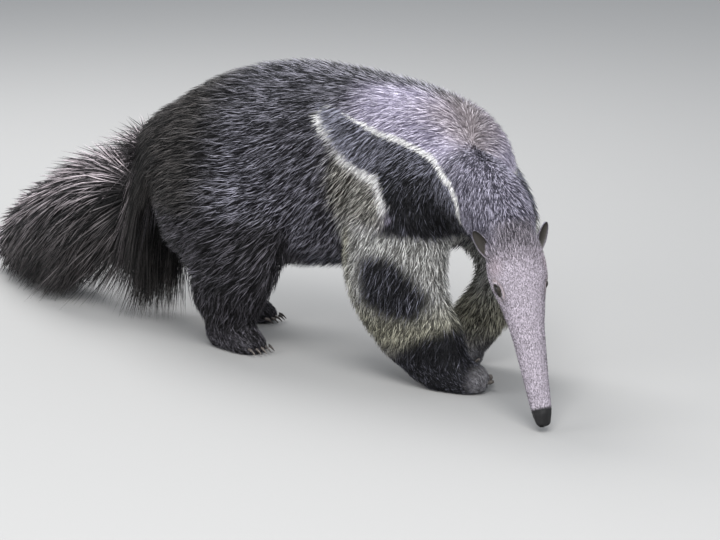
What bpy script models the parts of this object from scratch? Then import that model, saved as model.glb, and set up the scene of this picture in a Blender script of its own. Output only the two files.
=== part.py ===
"""Giant anteater, life size, standing with its head turned to its right and its nose to the ground.

Every place is written as (forward, left, up) in metres, with the floor at up = 0 and the spine's plane at
left = 0. place() turns it into Blender's axes: the animal faces -Y and its left side is +X.
The outer surface is that of the coat, out to the tips of the hair.
"""

import math

import bmesh
import bpy
from mathutils import Matrix, Vector

# Driving dimensions
HEAD_LENGTH = 0.354
HEAD_BASE = (0.183, -0.180, 0.335)
SNOUT_TIP = (0.309, -0.247, 0.008)
HEAD_ROLL = math.radians(-15)
CAMERA_SIDE = Vector((-0.747, -0.552, 0.370))
EAR_LENGTH = 0.060
EAR_WIDTH = 0.036
EAR_THICKNESS = 0.0030
EAR_ROWS = 7
EAR_COLUMNS = 6
EYE_RADIUS = 0.0085
VOXEL = 0.007
FLESH_TRIANGLES = 3640
SMOOTHING_ROUNDS = 8
TUBE_SIDES = 24
SHARP_ANGLE = math.radians(40)
CUT_GAP = 0.0004
BLOCK_LENGTH = 1.0
LIMB_BLOCK_WIDTH = 0.4
HEAD_BLOCK = (0.3, 0.3)
NECK_BLOCK = (0.4, 0.4)

# Ear and eye places on the head: share of its length, metres to the side, metres towards its top
EAR_ROOT = (0.085, 0.047, 0.000)
EAR_TIP = (-0.075, 0.073, 0.004)
EYE_PLACE = (0.270, 0.0432, 0.006)

# Where the body is parted: shares of the head's length, and for each limb its middle, the side of its block
# next to the middle line, the depth of the block and the tops of its upper part, lower part and foot
HEAD_CUT = -0.09
NOSE_CUT = 0.925
LIMB_CUTS = {
    "fore": (-0.0875, 0.010, 0.375, (0.310, 0.170, 0.062)),
    "hind": (-0.5975, 0.030, 0.385, (0.280, 0.150, 0.058)),
}

# Claws of a forefoot: metres ahead of its middle and towards the middle line, length and radius
FORECLAWS = [
    (0.012, 0.036, 0.020, 0.0050),
    (0.033, 0.036, 0.042, 0.0078),
    (0.054, 0.034, 0.056, 0.0090),
    (0.071, 0.006, 0.020, 0.0048),
]
# The path of a foreclaw, folded inwards under the foot: metres ahead, metres inwards and height of each
# point from the claw's root, and how far the point moves ahead and inwards with each metre of length
FORECLAW_PATH = [
    (-0.012, -0.020, 0.022, 0.0, 0.0),
    (0.004, 0.000, 0.024, 0.0, 0.0),
    (0.000, -0.006, 0.018, -0.25, 0.45),
    (0.000, -0.010, 0.009, -0.75, 0.55),
]
FORECLAW_TIP = 0.0012
FORECLAW_FLATNESS = 0.75

# Claws of a hind foot: metres towards the middle line, metres ahead; then their path as (ahead, up)
HINDCLAWS = [
    (0.026, 0.0686),
    (0.013, 0.0726),
    (0.000, 0.0740),
    (-0.013, 0.0726),
    (-0.026, 0.0686),
]
HINDCLAW_PATH = [
    (-0.012, 0.015),
    (0.008, 0.015),
    (0.018, 0.011),
    (0.025, 0.005),
]
HINDCLAW_RADIUS = 0.0046
HINDCLAW_TIP = 0.0010
HINDCLAW_FLATNESS = 0.8

# Colour and roughness of each look
LOOKS = {
    "dark_coat": ((0.030, 0.027, 0.030), 0.75),
    "pale_coat": ((0.330, 0.320, 0.290), 0.75),
    "grey_coat": ((0.170, 0.160, 0.170), 0.75),
    "nose": ((0.012, 0.011, 0.012), 0.35),
    "horn": ((0.110, 0.095, 0.080), 0.40),
    "eye": ((0.008, 0.006, 0.005), 0.08),
}

# Places of (forward, left, up) and half width, half depth of the limbs, coat included
FORELEG_R = [
    (-0.120, -0.035, 0.480, 0.050, 0.070),
    (-0.120, -0.068, 0.430, 0.072, 0.104),
    (-0.125, -0.100, 0.360, 0.080, 0.118),
    (-0.140, -0.110, 0.270, 0.080, 0.120),
    (-0.136, -0.112, 0.200, 0.076, 0.120),
    (-0.104, -0.108, 0.135, 0.066, 0.106),
    (-0.062, -0.104, 0.085, 0.058, 0.086),
    (-0.032, -0.100, 0.045, 0.052, 0.070),
]
FORELEG_L = [
    (-0.135, 0.035, 0.480, 0.050, 0.060),
    (-0.130, 0.062, 0.440, 0.064, 0.086),
    (-0.100, 0.090, 0.370, 0.076, 0.100),
    (-0.058, 0.104, 0.290, 0.078, 0.098),
    (-0.030, 0.108, 0.210, 0.062, 0.074),
    (-0.056, 0.096, 0.140, 0.056, 0.064),
    (-0.100, 0.076, 0.080, 0.050, 0.060),
    (-0.134, 0.064, 0.045, 0.046, 0.058),
]
HINDLEG_R = [
    (-0.630, -0.035, 0.460, 0.050, 0.090),
    (-0.612, -0.066, 0.400, 0.080, 0.145),
    (-0.588, -0.098, 0.300, 0.090, 0.168),
    (-0.556, -0.110, 0.210, 0.080, 0.142),
    (-0.565, -0.108, 0.130, 0.064, 0.100),
    (-0.592, -0.102, 0.060, 0.050, 0.068),
]
HINDLEG_L = [
    (-0.650, 0.035, 0.460, 0.050, 0.090),
    (-0.660, 0.066, 0.400, 0.078, 0.134),
    (-0.680, 0.098, 0.300, 0.088, 0.140),
    (-0.690, 0.108, 0.210, 0.076, 0.108),
    (-0.715, 0.104, 0.130, 0.060, 0.078),
    (-0.734, 0.100, 0.060, 0.048, 0.056),
]
# Each foot: its middle on the floor (forward, left), and how far its toes turn towards the middle line
FOREFEET = {"R": ((-0.004, -0.098), math.radians(14)), "L": ((-0.128, 0.062), math.radians(10))}
HINDFEET = {"R": ((-0.556, -0.102), math.radians(-8)), "L": ((-0.706, 0.103), math.radians(-8))}

# Stations of (forward, left, up, half width, half height), coat included
TRUNK = [
    (0.026, -0.036, 0.388, 0.040, 0.050),
    (0.000, -0.022, 0.394, 0.072, 0.090),
    (-0.045, -0.006, 0.401, 0.116, 0.137),
    (-0.150, 0.0, 0.401, 0.148, 0.167),
    (-0.300, 0.0, 0.391, 0.154, 0.196),
    (-0.450, 0.0, 0.380, 0.154, 0.210),
    (-0.580, 0.0, 0.373, 0.154, 0.195),
    (-0.680, 0.0, 0.358, 0.150, 0.172),
    (-0.760, 0.0, 0.341, 0.134, 0.144),
    (-0.820, 0.0, 0.328, 0.108, 0.120),
    (-0.860, 0.0, 0.316, 0.076, 0.088),
    (-0.882, 0.0, 0.308, 0.038, 0.045),
]
NECK = [
    (-0.115, -0.015, 0.415, 0.086, 0.092),
    (-0.060, -0.050, 0.416, 0.078, 0.083),
    (0.014, -0.096, 0.406, 0.073, 0.080),
    (0.092, -0.130, 0.388, 0.071, 0.079),
    (0.148, -0.157, 0.358, 0.062, 0.070),
    (0.184, -0.179, 0.317, 0.048, 0.054),
]
TAIL = [
    (-0.785, 0.000, 0.235, 0.030, 0.120),
    (-0.820, 0.000, 0.205, 0.058, 0.182),
    (-0.865, 0.001, 0.190, 0.080, 0.188),
    (-0.920, 0.003, 0.192, 0.087, 0.190),
    (-0.980, 0.010, 0.184, 0.088, 0.184),
    (-1.050, 0.022, 0.167, 0.085, 0.168),
    (-1.130, 0.044, 0.144, 0.078, 0.146),
    (-1.210, 0.074, 0.118, 0.069, 0.120),
    (-1.290, 0.110, 0.090, 0.058, 0.090),
    (-1.360, 0.145, 0.064, 0.043, 0.062),
    (-1.410, 0.172, 0.044, 0.026, 0.036),
    (-1.436, 0.188, 0.034, 0.010, 0.014),
]
# Head stations of (distance from the base over HEAD_LENGTH, half width, half height)
HEAD = [
    (-0.10, 0.0430, 0.0460),
    (0.00, 0.0500, 0.0560),
    (0.09, 0.0555, 0.0580),
    (0.17, 0.0572, 0.0550),
    (0.24, 0.0540, 0.0500),
    (0.32, 0.0450, 0.0435),
    (0.43, 0.0360, 0.0375),
    (0.53, 0.0310, 0.0325),
    (0.64, 0.0275, 0.0290),
    (0.75, 0.0246, 0.0262),
    (0.85, 0.0215, 0.0235),
    (0.93, 0.0200, 0.0212),
    (1.00, 0.0145, 0.0150),
]


def place(forward, left, up):
    """A (forward, left, up) place in Blender's axes."""
    return Vector((left, -forward, up))


FORWARD = place(1, 0, 0)
LEFT = place(0, 1, 0)
UP = place(0, 0, 1)

# Points on the parting faces, and the directions in which the neck and the tail leave the trunk
NECK_CUT = place(0.030, -0.092, 0.40)
NECK_AHEAD = place(0.85, -0.53, 0).normalized()
TAIL_CUTS = (place(-0.832, 0, 0.20), place(-1.02, 0, 0.2), place(-1.20, 0, 0.2))
TAIL_BACK = place(-0.970, 0, -0.243).normalized()
TRUNK_CUTS = (place(-0.27, 0, 0.3), place(-0.52, 0, 0.3))


def clear_scene():
    for thing in list(bpy.data.objects):
        bpy.data.objects.remove(thing, do_unlink=True)


def link_object(name, mesh):
    thing = bpy.data.objects.new(name, mesh)
    bpy.context.scene.collection.objects.link(thing)
    return thing


def mesh_object(name, verts, faces):
    mesh = bpy.data.meshes.new(name)
    mesh.from_pydata([tuple(v) for v in verts], [], faces)
    mesh.update()
    return link_object(name, mesh)


def smooth_row(rows, per_span):
    """Values between the stations, on a Catmull-Rom curve through them."""
    found = []
    for i in range(len(rows) - 1):
        before = rows[max(i - 1, 0)]
        here, there = rows[i], rows[i + 1]
        after = rows[min(i + 2, len(rows) - 1)]
        for step in range(per_span):
            t = step / per_span
            found.append(
                tuple(
                    0.5 * (2 * q + (r - p) * t + (2 * p - 5 * q + 4 * r - s) * t**2 + (3 * q - p - 3 * r + s) * t**3)
                    for p, q, r, s in zip(before, here, there, after)
                )
            )
    found.append(tuple(rows[-1]))
    return found


def loft(name, rings, reference, sides=TUBE_SIDES, upright=False):
    """A closed tube through rings of (centre, half width, half height). The height lies along reference."""
    verts, faces = [], []
    for i, (centre, half_width, half_height) in enumerate(rings):
        ahead = rings[min(i + 1, len(rings) - 1)][0] - rings[max(i - 1, 0)][0]
        if upright:
            ahead -= reference * ahead.dot(reference)
        ahead.normalize()
        across = ahead.cross(reference).normalized()
        height = across.cross(ahead).normalized()
        for k in range(sides):
            angle = 2 * math.pi * k / sides
            verts.append(centre + across * (half_width * math.cos(angle)) + height * (half_height * math.sin(angle)))
    for i in range(len(rings) - 1):
        for k in range(sides):
            a, b = i * sides + k, i * sides + (k + 1) % sides
            faces.append((a, b, b + sides, a + sides))
    faces.append(tuple(range(sides)))
    last = (len(rings) - 1) * sides
    faces.append(tuple(last + k for k in range(sides)))
    thing = mesh_object(name, verts, faces)
    face_outwards(thing)
    return thing


def face_outwards(thing):
    shape = bmesh.new()
    shape.from_mesh(thing.data)
    bmesh.ops.recalc_face_normals(shape, faces=shape.faces)
    shape.to_mesh(thing.data)
    shape.free()


def body_tube(name, stations, reference=UP, per_span=5, upright=False):
    """A tube through stations of (forward, left, up, half width, half height)."""
    rings = [(place(*row[:3]), row[3], row[4]) for row in smooth_row(stations, per_span)]
    return loft(name, rings, reference, upright=upright)


def head_axes():
    """The head's base, its direction to the nose, its dorsal direction and its own left."""
    base = place(*HEAD_BASE)
    along = (place(*SNOUT_TIP) - base).normalized()
    facing = (CAMERA_SIDE - along * CAMERA_SIDE.dot(along)).normalized()
    dorsal = Matrix.Rotation(HEAD_ROLL, 3, along) @ facing
    return base, along, dorsal, dorsal.cross(along)


def head_place(share, left, dorsal_height):
    """A place on the head: share of its length from the base, then metres to its left and towards its top."""
    base, along, dorsal, left_side = head_axes()
    return base + along * (share * HEAD_LENGTH) + left_side * left + dorsal * dorsal_height


def foot_tube(name, spot, turn, rows):
    """A foot along the floor, heel to toes. rows are (ahead, up, half width, half height), turned by turn."""
    inward = -1 if spot[1] > 0 else 1
    stations = []
    for ahead, up, half_width, half_height in rows:
        stations.append(
            (
                spot[0] + ahead * math.cos(turn),
                spot[1] + inward * ahead * math.sin(turn),
                up,
                half_width,
                half_height,
            )
        )
    return body_tube(name, stations, per_span=4)


FOREFOOT_ROWS = [
    (-0.070, 0.026, 0.016, 0.020),
    (-0.050, 0.030, 0.034, 0.036),
    (-0.010, 0.034, 0.042, 0.041),
    (0.030, 0.029, 0.042, 0.036),
    (0.055, 0.024, 0.034, 0.028),
    (0.068, 0.020, 0.018, 0.014),
]
HINDFOOT_ROWS = [
    (-0.074, 0.022, 0.014, 0.014),
    (-0.060, 0.028, 0.028, 0.034),
    (-0.030, 0.034, 0.036, 0.041),
    (0.020, 0.026, 0.040, 0.033),
    (0.060, 0.019, 0.038, 0.025),
    (0.082, 0.014, 0.024, 0.014),
]


def flesh_tubes():
    """All the overlapping tubes that make the body's outer form."""
    base, along, dorsal, _ = head_axes()
    head_rings = [
        (base + along * (share * HEAD_LENGTH), half_width, half_height)
        for share, half_width, half_height in smooth_row(HEAD, 5)
    ]
    tubes = [
        body_tube("trunk", TRUNK, upright=True),
        body_tube("neck", NECK),
        loft("head", head_rings, dorsal),
        body_tube("tail", TAIL, upright=True),
    ]
    for stations in (FORELEG_R, FORELEG_L, HINDLEG_R, HINDLEG_L):
        tubes.append(body_tube("leg", stations, reference=FORWARD))
    for side in "RL":
        tubes.append(foot_tube("forefoot", *FOREFEET[side], FOREFOOT_ROWS))
        tubes.append(foot_tube("hindfoot", *HINDFEET[side], HINDFOOT_ROWS))
    return tubes


def joined(name, things):
    shape = bmesh.new()
    for thing in things:
        shape.from_mesh(thing.data)
        bpy.data.objects.remove(thing, do_unlink=True)
    mesh = bpy.data.meshes.new(name)
    shape.to_mesh(mesh)
    shape.free()
    return link_object(name, mesh)


def apply_modifiers(thing):
    bpy.context.view_layer.update()
    graph = bpy.context.evaluated_depsgraph_get()
    mesh = bpy.data.meshes.new_from_object(thing.evaluated_get(graph))
    thing.modifiers.clear()
    thing.data = mesh


def make_flesh():
    flesh = joined("flesh", flesh_tubes())
    remesh = flesh.modifiers.new("one_skin", "REMESH")
    remesh.mode = "VOXEL"
    remesh.voxel_size = VOXEL
    even = flesh.modifiers.new("even", "SMOOTH")
    even.factor = 0.5
    even.iterations = SMOOTHING_ROUNDS
    apply_modifiers(flesh)
    fewer = flesh.modifiers.new("fewer", "DECIMATE")
    triangles = sum(len(face.vertices) - 2 for face in flesh.data.polygons)
    fewer.ratio = FLESH_TRIANGLES / triangles
    fewer.use_collapse_triangulate = True
    apply_modifiers(flesh)
    return flesh


def stand_on_floor(flesh):
    """Cuts the soles and the lowest hair of the tail to flats at the level of the floor."""
    shape = bmesh.new()
    shape.from_mesh(flesh.data)
    everything = shape.verts[:] + shape.edges[:] + shape.faces[:]
    cut = bmesh.ops.bisect_plane(shape, geom=everything, plane_co=(0, 0, 0), plane_no=(0, 0, -1), clear_outer=True)
    rim = [item for item in cut["geom_cut"] if isinstance(item, bmesh.types.BMEdge)]
    bmesh.ops.holes_fill(shape, edges=rim, sides=0)
    bmesh.ops.triangulate(shape, faces=shape.faces[:])
    shape.to_mesh(flesh.data)
    shape.free()


def parting_block(face, ahead, side, size, grow):
    """A long block that starts at the point face, runs ahead, and is grown by grow on every side."""
    width, depth = size
    across = ahead.cross(side)
    shape = bmesh.new()
    turn = Matrix((side, ahead, across)).transposed().to_4x4()
    stretch = Matrix.Diagonal((width + 2 * grow, BLOCK_LENGTH + 2 * grow, depth + 2 * grow, 1))
    frame = Matrix.Translation(face + ahead * BLOCK_LENGTH / 2) @ turn @ stretch
    bmesh.ops.create_cube(shape, size=1, matrix=frame)
    bmesh.ops.recalc_face_normals(shape, faces=shape.faces)
    mesh = bpy.data.meshes.new("block")
    shape.to_mesh(mesh)
    shape.free()
    return cutter("block", mesh)


def cutter(name, mesh):
    """An object that only cuts others."""
    thing = link_object(name, mesh)
    thing.hide_render = True
    thing.display_type = "WIRE"
    return thing


def cut_copy(name, thing, tool, operation):
    """A copy of thing, cut by the tool."""
    piece = link_object(name, thing.data.copy())
    cut = piece.modifiers.new("cut", "BOOLEAN")
    cut.operation = operation
    cut.solver = "EXACT"
    cut.object = tool
    apply_modifiers(piece)
    return piece


def part_off(pieces, name, source, face, ahead, side=LEFT, size=(2.0, 2.0)):
    """Moves what lies in a block out of the piece called source into a new piece, with a thin cut between."""
    whole = pieces[source]
    inner = parting_block(face, ahead, side, size, -CUT_GAP / 2)
    outer = parting_block(face, ahead, side, size, CUT_GAP / 2)
    pieces[name] = cut_copy(name, whole, inner, "INTERSECT")
    pieces[source] = cut_copy(source, whole, outer, "DIFFERENCE")
    for thing in (whole, inner, outer):
        bpy.data.objects.remove(thing, do_unlink=True)


def divide_flesh(flesh):
    """The flesh as a table of its named parts."""
    _, along, _, left_side = head_axes()
    pieces = {"trunk_rear": flesh}
    part_off(pieces, "head", "trunk_rear", head_place(HEAD_CUT, 0, 0), along, left_side, HEAD_BLOCK)
    part_off(pieces, "nose", "head", head_place(NOSE_CUT, 0, 0), along, left_side)
    part_off(pieces, "neck", "trunk_rear", NECK_CUT, NECK_AHEAD, NECK_AHEAD.cross(UP).normalized(), NECK_BLOCK)
    part_off(pieces, "tail_base", "trunk_rear", TAIL_CUTS[0], TAIL_BACK)
    part_off(pieces, "tail_middle", "tail_base", TAIL_CUTS[1], -FORWARD)
    part_off(pieces, "tail_end", "tail_middle", TAIL_CUTS[2], -FORWARD)
    for limb, (middle, inner, depth, tops) in LIMB_CUTS.items():
        for side, left in (("R", -1), ("L", 1)):
            source = "trunk_rear"
            for length, top in zip(("leg_upper", "leg_lower", "foot"), tops):
                name = f"{limb}{length}_{side}"
                face = place(middle, left * (inner + LIMB_BLOCK_WIDTH / 2), top)
                part_off(pieces, name, source, face, -UP, LEFT, (LIMB_BLOCK_WIDTH, depth))
                source = name
    part_off(pieces, "trunk_front", "trunk_rear", TRUNK_CUTS[0], FORWARD)
    part_off(pieces, "trunk_middle", "trunk_rear", TRUNK_CUTS[1], FORWARD)
    return pieces


def swollen(thing, gap):
    """A cutter of the thing's shape, larger by gap all over."""
    tool = cutter("swollen", thing.data.copy())
    for vert, normal in zip(tool.data.vertices, [Vector(n.vector) for n in tool.data.vertex_normals]):
        vert.co += normal * gap
    return tool


def keep_largest(thing):
    """Drops every loose scrap but the largest body of the mesh."""
    shape = bmesh.new()
    shape.from_mesh(thing.data)
    left, bodies = set(shape.verts), []
    while left:
        body, front = set(), [left.pop()]
        while front:
            vert = front.pop()
            body.add(vert)
            near = {edge.other_vert(vert) for edge in vert.link_edges} & left
            left -= near
            front.extend(near)
        bodies.append(body)
    bodies.sort(key=len)
    scraps = [vert for body in bodies[:-1] for vert in body]
    bmesh.ops.delete(shape, geom=scraps, context="VERTS")
    shape.to_mesh(thing.data)
    shape.free()


def fitted(name, thing, flesh_tool):
    """The thing without what would lie inside the flesh."""
    piece = cut_copy(name, thing, flesh_tool, "DIFFERENCE")
    keep_largest(piece)
    bpy.data.objects.remove(thing, do_unlink=True)
    return piece


def ear_half_width(share):
    """Half the ear's width at a share of its length: narrow at the root, widest at a third, rounded at the tip."""
    half = 0.25 * EAR_WIDTH * (1 + math.sin(math.pi * min(share, 0.5)))
    rounding = 1 - (max(share - 0.30, 0) / 0.70) ** 2.2
    return half * math.sqrt(max(rounding, 0.012))


def ear_rim(width):
    """The numbers of the verts round the edge of one layer of the ear, width verts to a row."""
    rim = list(range(width))
    rim += [i * width + width - 1 for i in range(1, EAR_ROWS + 1)]
    rim += [EAR_ROWS * width + j for j in range(width - 2, -1, -1)]
    rim += [i * width for i in range(EAR_ROWS - 1, 0, -1)]
    return rim


def ear_shape(side):
    """A cupped leaf on one side of the head. side is 1 for the left ear and -1 for the right one."""
    _, along, dorsal, left_side = head_axes()
    root = head_place(EAR_ROOT[0], side * EAR_ROOT[1], EAR_ROOT[2])
    tip = head_place(EAR_TIP[0], side * EAR_TIP[1], EAR_TIP[2])
    rise = (tip - root).normalized()
    mouth = (left_side * side * 0.55 + dorsal * 0.80 + along * 0.25).normalized()
    mouth = (mouth - rise * mouth.dot(rise)).normalized()
    across = rise.cross(mouth) * side
    verts, faces = [], []
    for layer in (1, -1):
        for i in range(EAR_ROWS + 1):
            v = i / EAR_ROWS
            for j in range(EAR_COLUMNS + 1):
                u = 2 * j / EAR_COLUMNS - 1
                bulge = 1 - u * u
                cup = 0.30 * EAR_WIDTH * bulge * (1 - 0.55 * v)
                thick = EAR_THICKNESS * (1.25 - 0.5 * v) * (0.45 + 0.55 * bulge) / 2
                spot = root + rise * (EAR_LENGTH * v) + across * (ear_half_width(v) * u)
                verts.append(spot - mouth * (cup - layer * thick))
    width = EAR_COLUMNS + 1
    count = (EAR_ROWS + 1) * width
    for i in range(EAR_ROWS):
        for j in range(EAR_COLUMNS):
            a = i * width + j
            faces.append((a, a + 1, a + 1 + width, a + width))
            faces.append((count + a, count + a + width, count + a + 1 + width, count + a + 1))
    rim = ear_rim(width)
    for a, b in zip(rim, rim[1:] + rim[:1]):
        faces.append((b, a, count + a, count + b))
    thing = mesh_object("ear", verts, faces)
    face_outwards(thing)
    return thing


def eye_shape(side):
    shape = bmesh.new()
    centre = Matrix.Translation(head_place(EYE_PLACE[0], side * EYE_PLACE[1], EYE_PLACE[2]))
    bmesh.ops.create_icosphere(shape, subdivisions=2, radius=EYE_RADIUS, matrix=centre)
    mesh = bpy.data.meshes.new("eye")
    shape.to_mesh(mesh)
    shape.free()
    return link_object("eye", mesh)


def claw_shape(path, root_radius, tip_radius, flatness):
    """A curved claw through the points of its path, thinner towards its tip."""
    rings = []
    points = smooth_row([tuple(point) for point in path], 2)
    for i, point in enumerate(points):
        share = i / (len(points) - 1)
        radius = root_radius + (tip_radius - root_radius) * share**1.3
        rings.append((Vector(point), radius * flatness, radius))
    return loft("claw", rings, UP, sides=6)


def foot_place(spot, turn, ahead, inward, up):
    """A place beside a foot: metres ahead of its middle, towards the middle line, and above the floor."""
    side = -1 if spot[1] > 0 else 1
    forward = spot[0] + ahead * math.cos(turn) - inward * math.sin(turn)
    left = spot[1] + side * (ahead * math.sin(turn) + inward * math.cos(turn))
    return place(forward, left, up)


def claws():
    """Every claw by name: four folded inwards on each forefoot and five short ones on each hind foot."""
    found = {}
    for side in "RL":
        foot = FOREFEET[side]
        for number, (ahead, inward, length, radius) in enumerate(FORECLAWS, 1):
            path = [
                foot_place(*foot, ahead + row[0] + row[3] * length, inward + row[1] + row[4] * length, row[2])
                for row in FORECLAW_PATH
            ]
            found[f"foreclaw_{number}_{side}"] = claw_shape(path, radius, FORECLAW_TIP, FORECLAW_FLATNESS)
        foot = HINDFEET[side]
        for number, (inward, ahead) in enumerate(HINDCLAWS, 1):
            path = [foot_place(*foot, ahead + step, inward, up) for step, up in HINDCLAW_PATH]
            found[f"hindclaw_{number}_{side}"] = claw_shape(path, HINDCLAW_RADIUS, HINDCLAW_TIP, HINDCLAW_FLATNESS)
    return found


def paint(thing, look):
    """Gives the thing its own material: colour, roughness and smooth shading."""
    colour, roughness = LOOKS[look]
    material = bpy.data.materials.new(thing.name)
    material.use_nodes = True
    surface = material.node_tree.nodes["Principled BSDF"]
    surface.inputs["Base Color"].default_value = (*colour, 1)
    surface.inputs["Roughness"].default_value = roughness
    surface.inputs["Metallic"].default_value = 0.0
    thing.data.materials.clear()
    thing.data.materials.append(material)
    thing.data.shade_smooth()
    thing.data.set_sharp_from_angle(angle=SHARP_ANGLE)


def look_of(name):
    if name.startswith("eye"):
        return "eye"
    if "claw" in name:
        return "horn"
    if name == "nose":
        return "nose"
    if name in ("head", "ear_R", "ear_L", "neck"):
        return "grey_coat"
    if name.startswith("foreleg"):
        return "pale_coat"
    return "dark_coat"


def set_origin(things):
    """Hangs all the things on one empty, so that the middle of their outer box stands on the origin."""
    corners = [vert.co for thing in things for vert in thing.data.vertices]
    low = [min(corner[axis] for corner in corners) for axis in range(3)]
    high = [max(corner[axis] for corner in corners) for axis in range(3)]
    root = link_object("anteater", None)
    root.location = (-(low[0] + high[0]) / 2, -(low[1] + high[1]) / 2, -low[2])
    for thing in things:
        thing.parent = root


def main():
    clear_scene()
    flesh = make_flesh()
    stand_on_floor(flesh)
    tool = swollen(flesh, CUT_GAP)
    things = {"ear_R": ear_shape(-1), "ear_L": ear_shape(1), **claws()}
    pieces = {name: fitted(name, thing, tool) for name, thing in things.items()}
    bpy.data.objects.remove(tool, do_unlink=True)
    pieces.update(divide_flesh(flesh))
    for side, left in (("R", -1), ("L", 1)):
        eye = eye_shape(left)
        eye.name = f"eye_{side}"
        socket = swollen(eye, CUT_GAP)
        whole = pieces["head"]
        pieces["head"] = cut_copy("head", whole, socket, "DIFFERENCE")
        bpy.data.objects.remove(whole, do_unlink=True)
        bpy.data.objects.remove(socket, do_unlink=True)
        pieces[eye.name] = eye
    for name, piece in pieces.items():
        piece.name = name
        paint(piece, look_of(name))
    set_origin(list(pieces.values()))


main()
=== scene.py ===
# %% [markdown]
# # A giant anteater, life size
# The animal stands with its long head lowered and turned to its right. The frame brings its measured
# solids, which reach out to the tips of the coat. This lesson puts one skin inside them, grows the coat on
# it in solid tufts, and finishes eyes, claws and nose.

# %% Load the frame
import math

import bmesh
import bpy
import numpy as np
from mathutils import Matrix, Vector
from mathutils.bvhtree import BVHTree


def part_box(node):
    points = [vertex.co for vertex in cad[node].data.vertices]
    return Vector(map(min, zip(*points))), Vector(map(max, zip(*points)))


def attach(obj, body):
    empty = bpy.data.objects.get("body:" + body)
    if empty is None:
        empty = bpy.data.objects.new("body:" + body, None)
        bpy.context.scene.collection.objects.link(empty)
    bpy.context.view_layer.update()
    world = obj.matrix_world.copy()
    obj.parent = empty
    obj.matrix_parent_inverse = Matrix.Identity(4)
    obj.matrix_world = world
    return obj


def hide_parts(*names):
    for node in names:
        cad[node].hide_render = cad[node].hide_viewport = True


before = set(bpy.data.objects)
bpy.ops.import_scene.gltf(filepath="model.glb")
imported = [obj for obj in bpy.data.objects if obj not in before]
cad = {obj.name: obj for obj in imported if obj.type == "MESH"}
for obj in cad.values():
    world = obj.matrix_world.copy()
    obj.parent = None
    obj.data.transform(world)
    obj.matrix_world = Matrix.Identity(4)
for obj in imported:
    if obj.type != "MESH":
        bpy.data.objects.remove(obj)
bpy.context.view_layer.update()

BODY = "root"
WELD = 0.00001
TINY = 1e-9


def is_hard(name):
    return "claw" in name or name.startswith("eye")


flesh_names = sorted(name for name in cad if not is_hard(name))
tail_names = [name for name in flesh_names if name.startswith("tail")]
ear_names = [name for name in flesh_names if name.startswith("ear")]
print(len(flesh_names), "solids of flesh,", len(cad) - len(flesh_names), "eyes and claws")


# %% [markdown]
# ## Small tools
# A mesh's numbers are read into arrays, changed there all at once and written back, because a loop over each
# vertex of a fine skin would be slow. A soft step and an average over neighbours are used again and again.

# %% Small tools for meshes
def new_object(name, mesh):
    thing = bpy.data.objects.new(name, mesh)
    bpy.context.scene.collection.objects.link(thing)
    return thing


def mesh_of(name, verts, faces):
    mesh = bpy.data.meshes.new(name)
    mesh.from_pydata([tuple(v) for v in verts], [], faces)
    mesh.update()
    return mesh


def evaluated(thing):
    """The mesh that the thing's modifiers make, as a mesh of its own. The modifiers are then removed."""
    bpy.context.view_layer.update()
    graph = bpy.context.evaluated_depsgraph_get()
    mesh = bpy.data.meshes.new_from_object(thing.evaluated_get(graph))
    thing.modifiers.clear()
    return mesh


def places_of(mesh):
    found = np.empty(len(mesh.vertices) * 3, np.float32)
    mesh.vertices.foreach_get("co", found)
    return found.reshape(-1, 3).astype(float)


def normals_of(mesh):
    found = np.empty(len(mesh.vertices) * 3, np.float32)
    mesh.vertex_normals.foreach_get("vector", found)
    return found.reshape(-1, 3).astype(float)


def move_to(mesh, places):
    mesh.vertices.foreach_set("co", places.astype(np.float32).ravel())
    mesh.update()


def unit(rows):
    return rows / np.maximum(np.linalg.norm(rows, axis=-1, keepdims=True), TINY)


def fade(value, low, high):
    """0 below low, 1 above high, and a soft step between."""
    share = np.clip((value - low) / (high - low), 0, 1)
    return share * share * (3 - 2 * share)


def spread(mesh, values, rounds):
    """Values on the verts, evened out over their neighbours."""
    ends = np.empty(len(mesh.edges) * 2, np.int32)
    mesh.edges.foreach_get("vertices", ends)
    ends = ends.reshape(-1, 2)
    both = np.concatenate([ends[:, 0], ends[:, 1]])
    other = np.concatenate([ends[:, 1], ends[:, 0]])
    count = np.maximum(np.bincount(both, minlength=len(mesh.vertices)), 1)
    table = values.reshape(len(values), -1).astype(float)
    for _ in range(rounds):
        around = [np.bincount(both, column[other], minlength=len(table)) / count for column in table.T]
        table = 0.5 * table + 0.5 * np.stack(around, 1)
    return table.reshape(values.shape)


# %% [markdown]
# ## The backbone
# Fur follows the body, not the axes of space. A smooth line from the root of the tail to the nose gives
# every point of the skin a station along the animal and an angle round it from the middle of the back. The
# markings and the lie of the coat are then told in those two numbers, alike on both sides.

# %% The backbone's line
# Places of the line, and the angle by which the back leans to the animal's left there
BACKBONE = [
    (0.033, 0.360, 0.300, 0),
    (0.033, 0.230, 0.345, 0),
    (0.033, 0.050, 0.375, 0),
    (0.033, -0.150, 0.385, 0),
    (0.033, -0.330, 0.396, 2),
    (0.020, -0.450, 0.412, 13),
    (-0.030, -0.545, 0.411, 20),
    (-0.085, -0.635, 0.392, 6),
    (-0.128, -0.712, 0.350, 0),
    (-0.154, -0.757, 0.290, 0),
    (-0.181, -0.806, 0.170, 0),
    (-0.214, -0.868, 0.008, 0),
]
STEPS = 12
BLOCK = 20000
HEAD_BASE = np.array((-0.1473, -0.7424, 0.335))
SNOUT_TIP = np.array((-0.2143, -0.8684, 0.008))
NECK_STATION, HEAD_STATION = 0.915, 1.220


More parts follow.
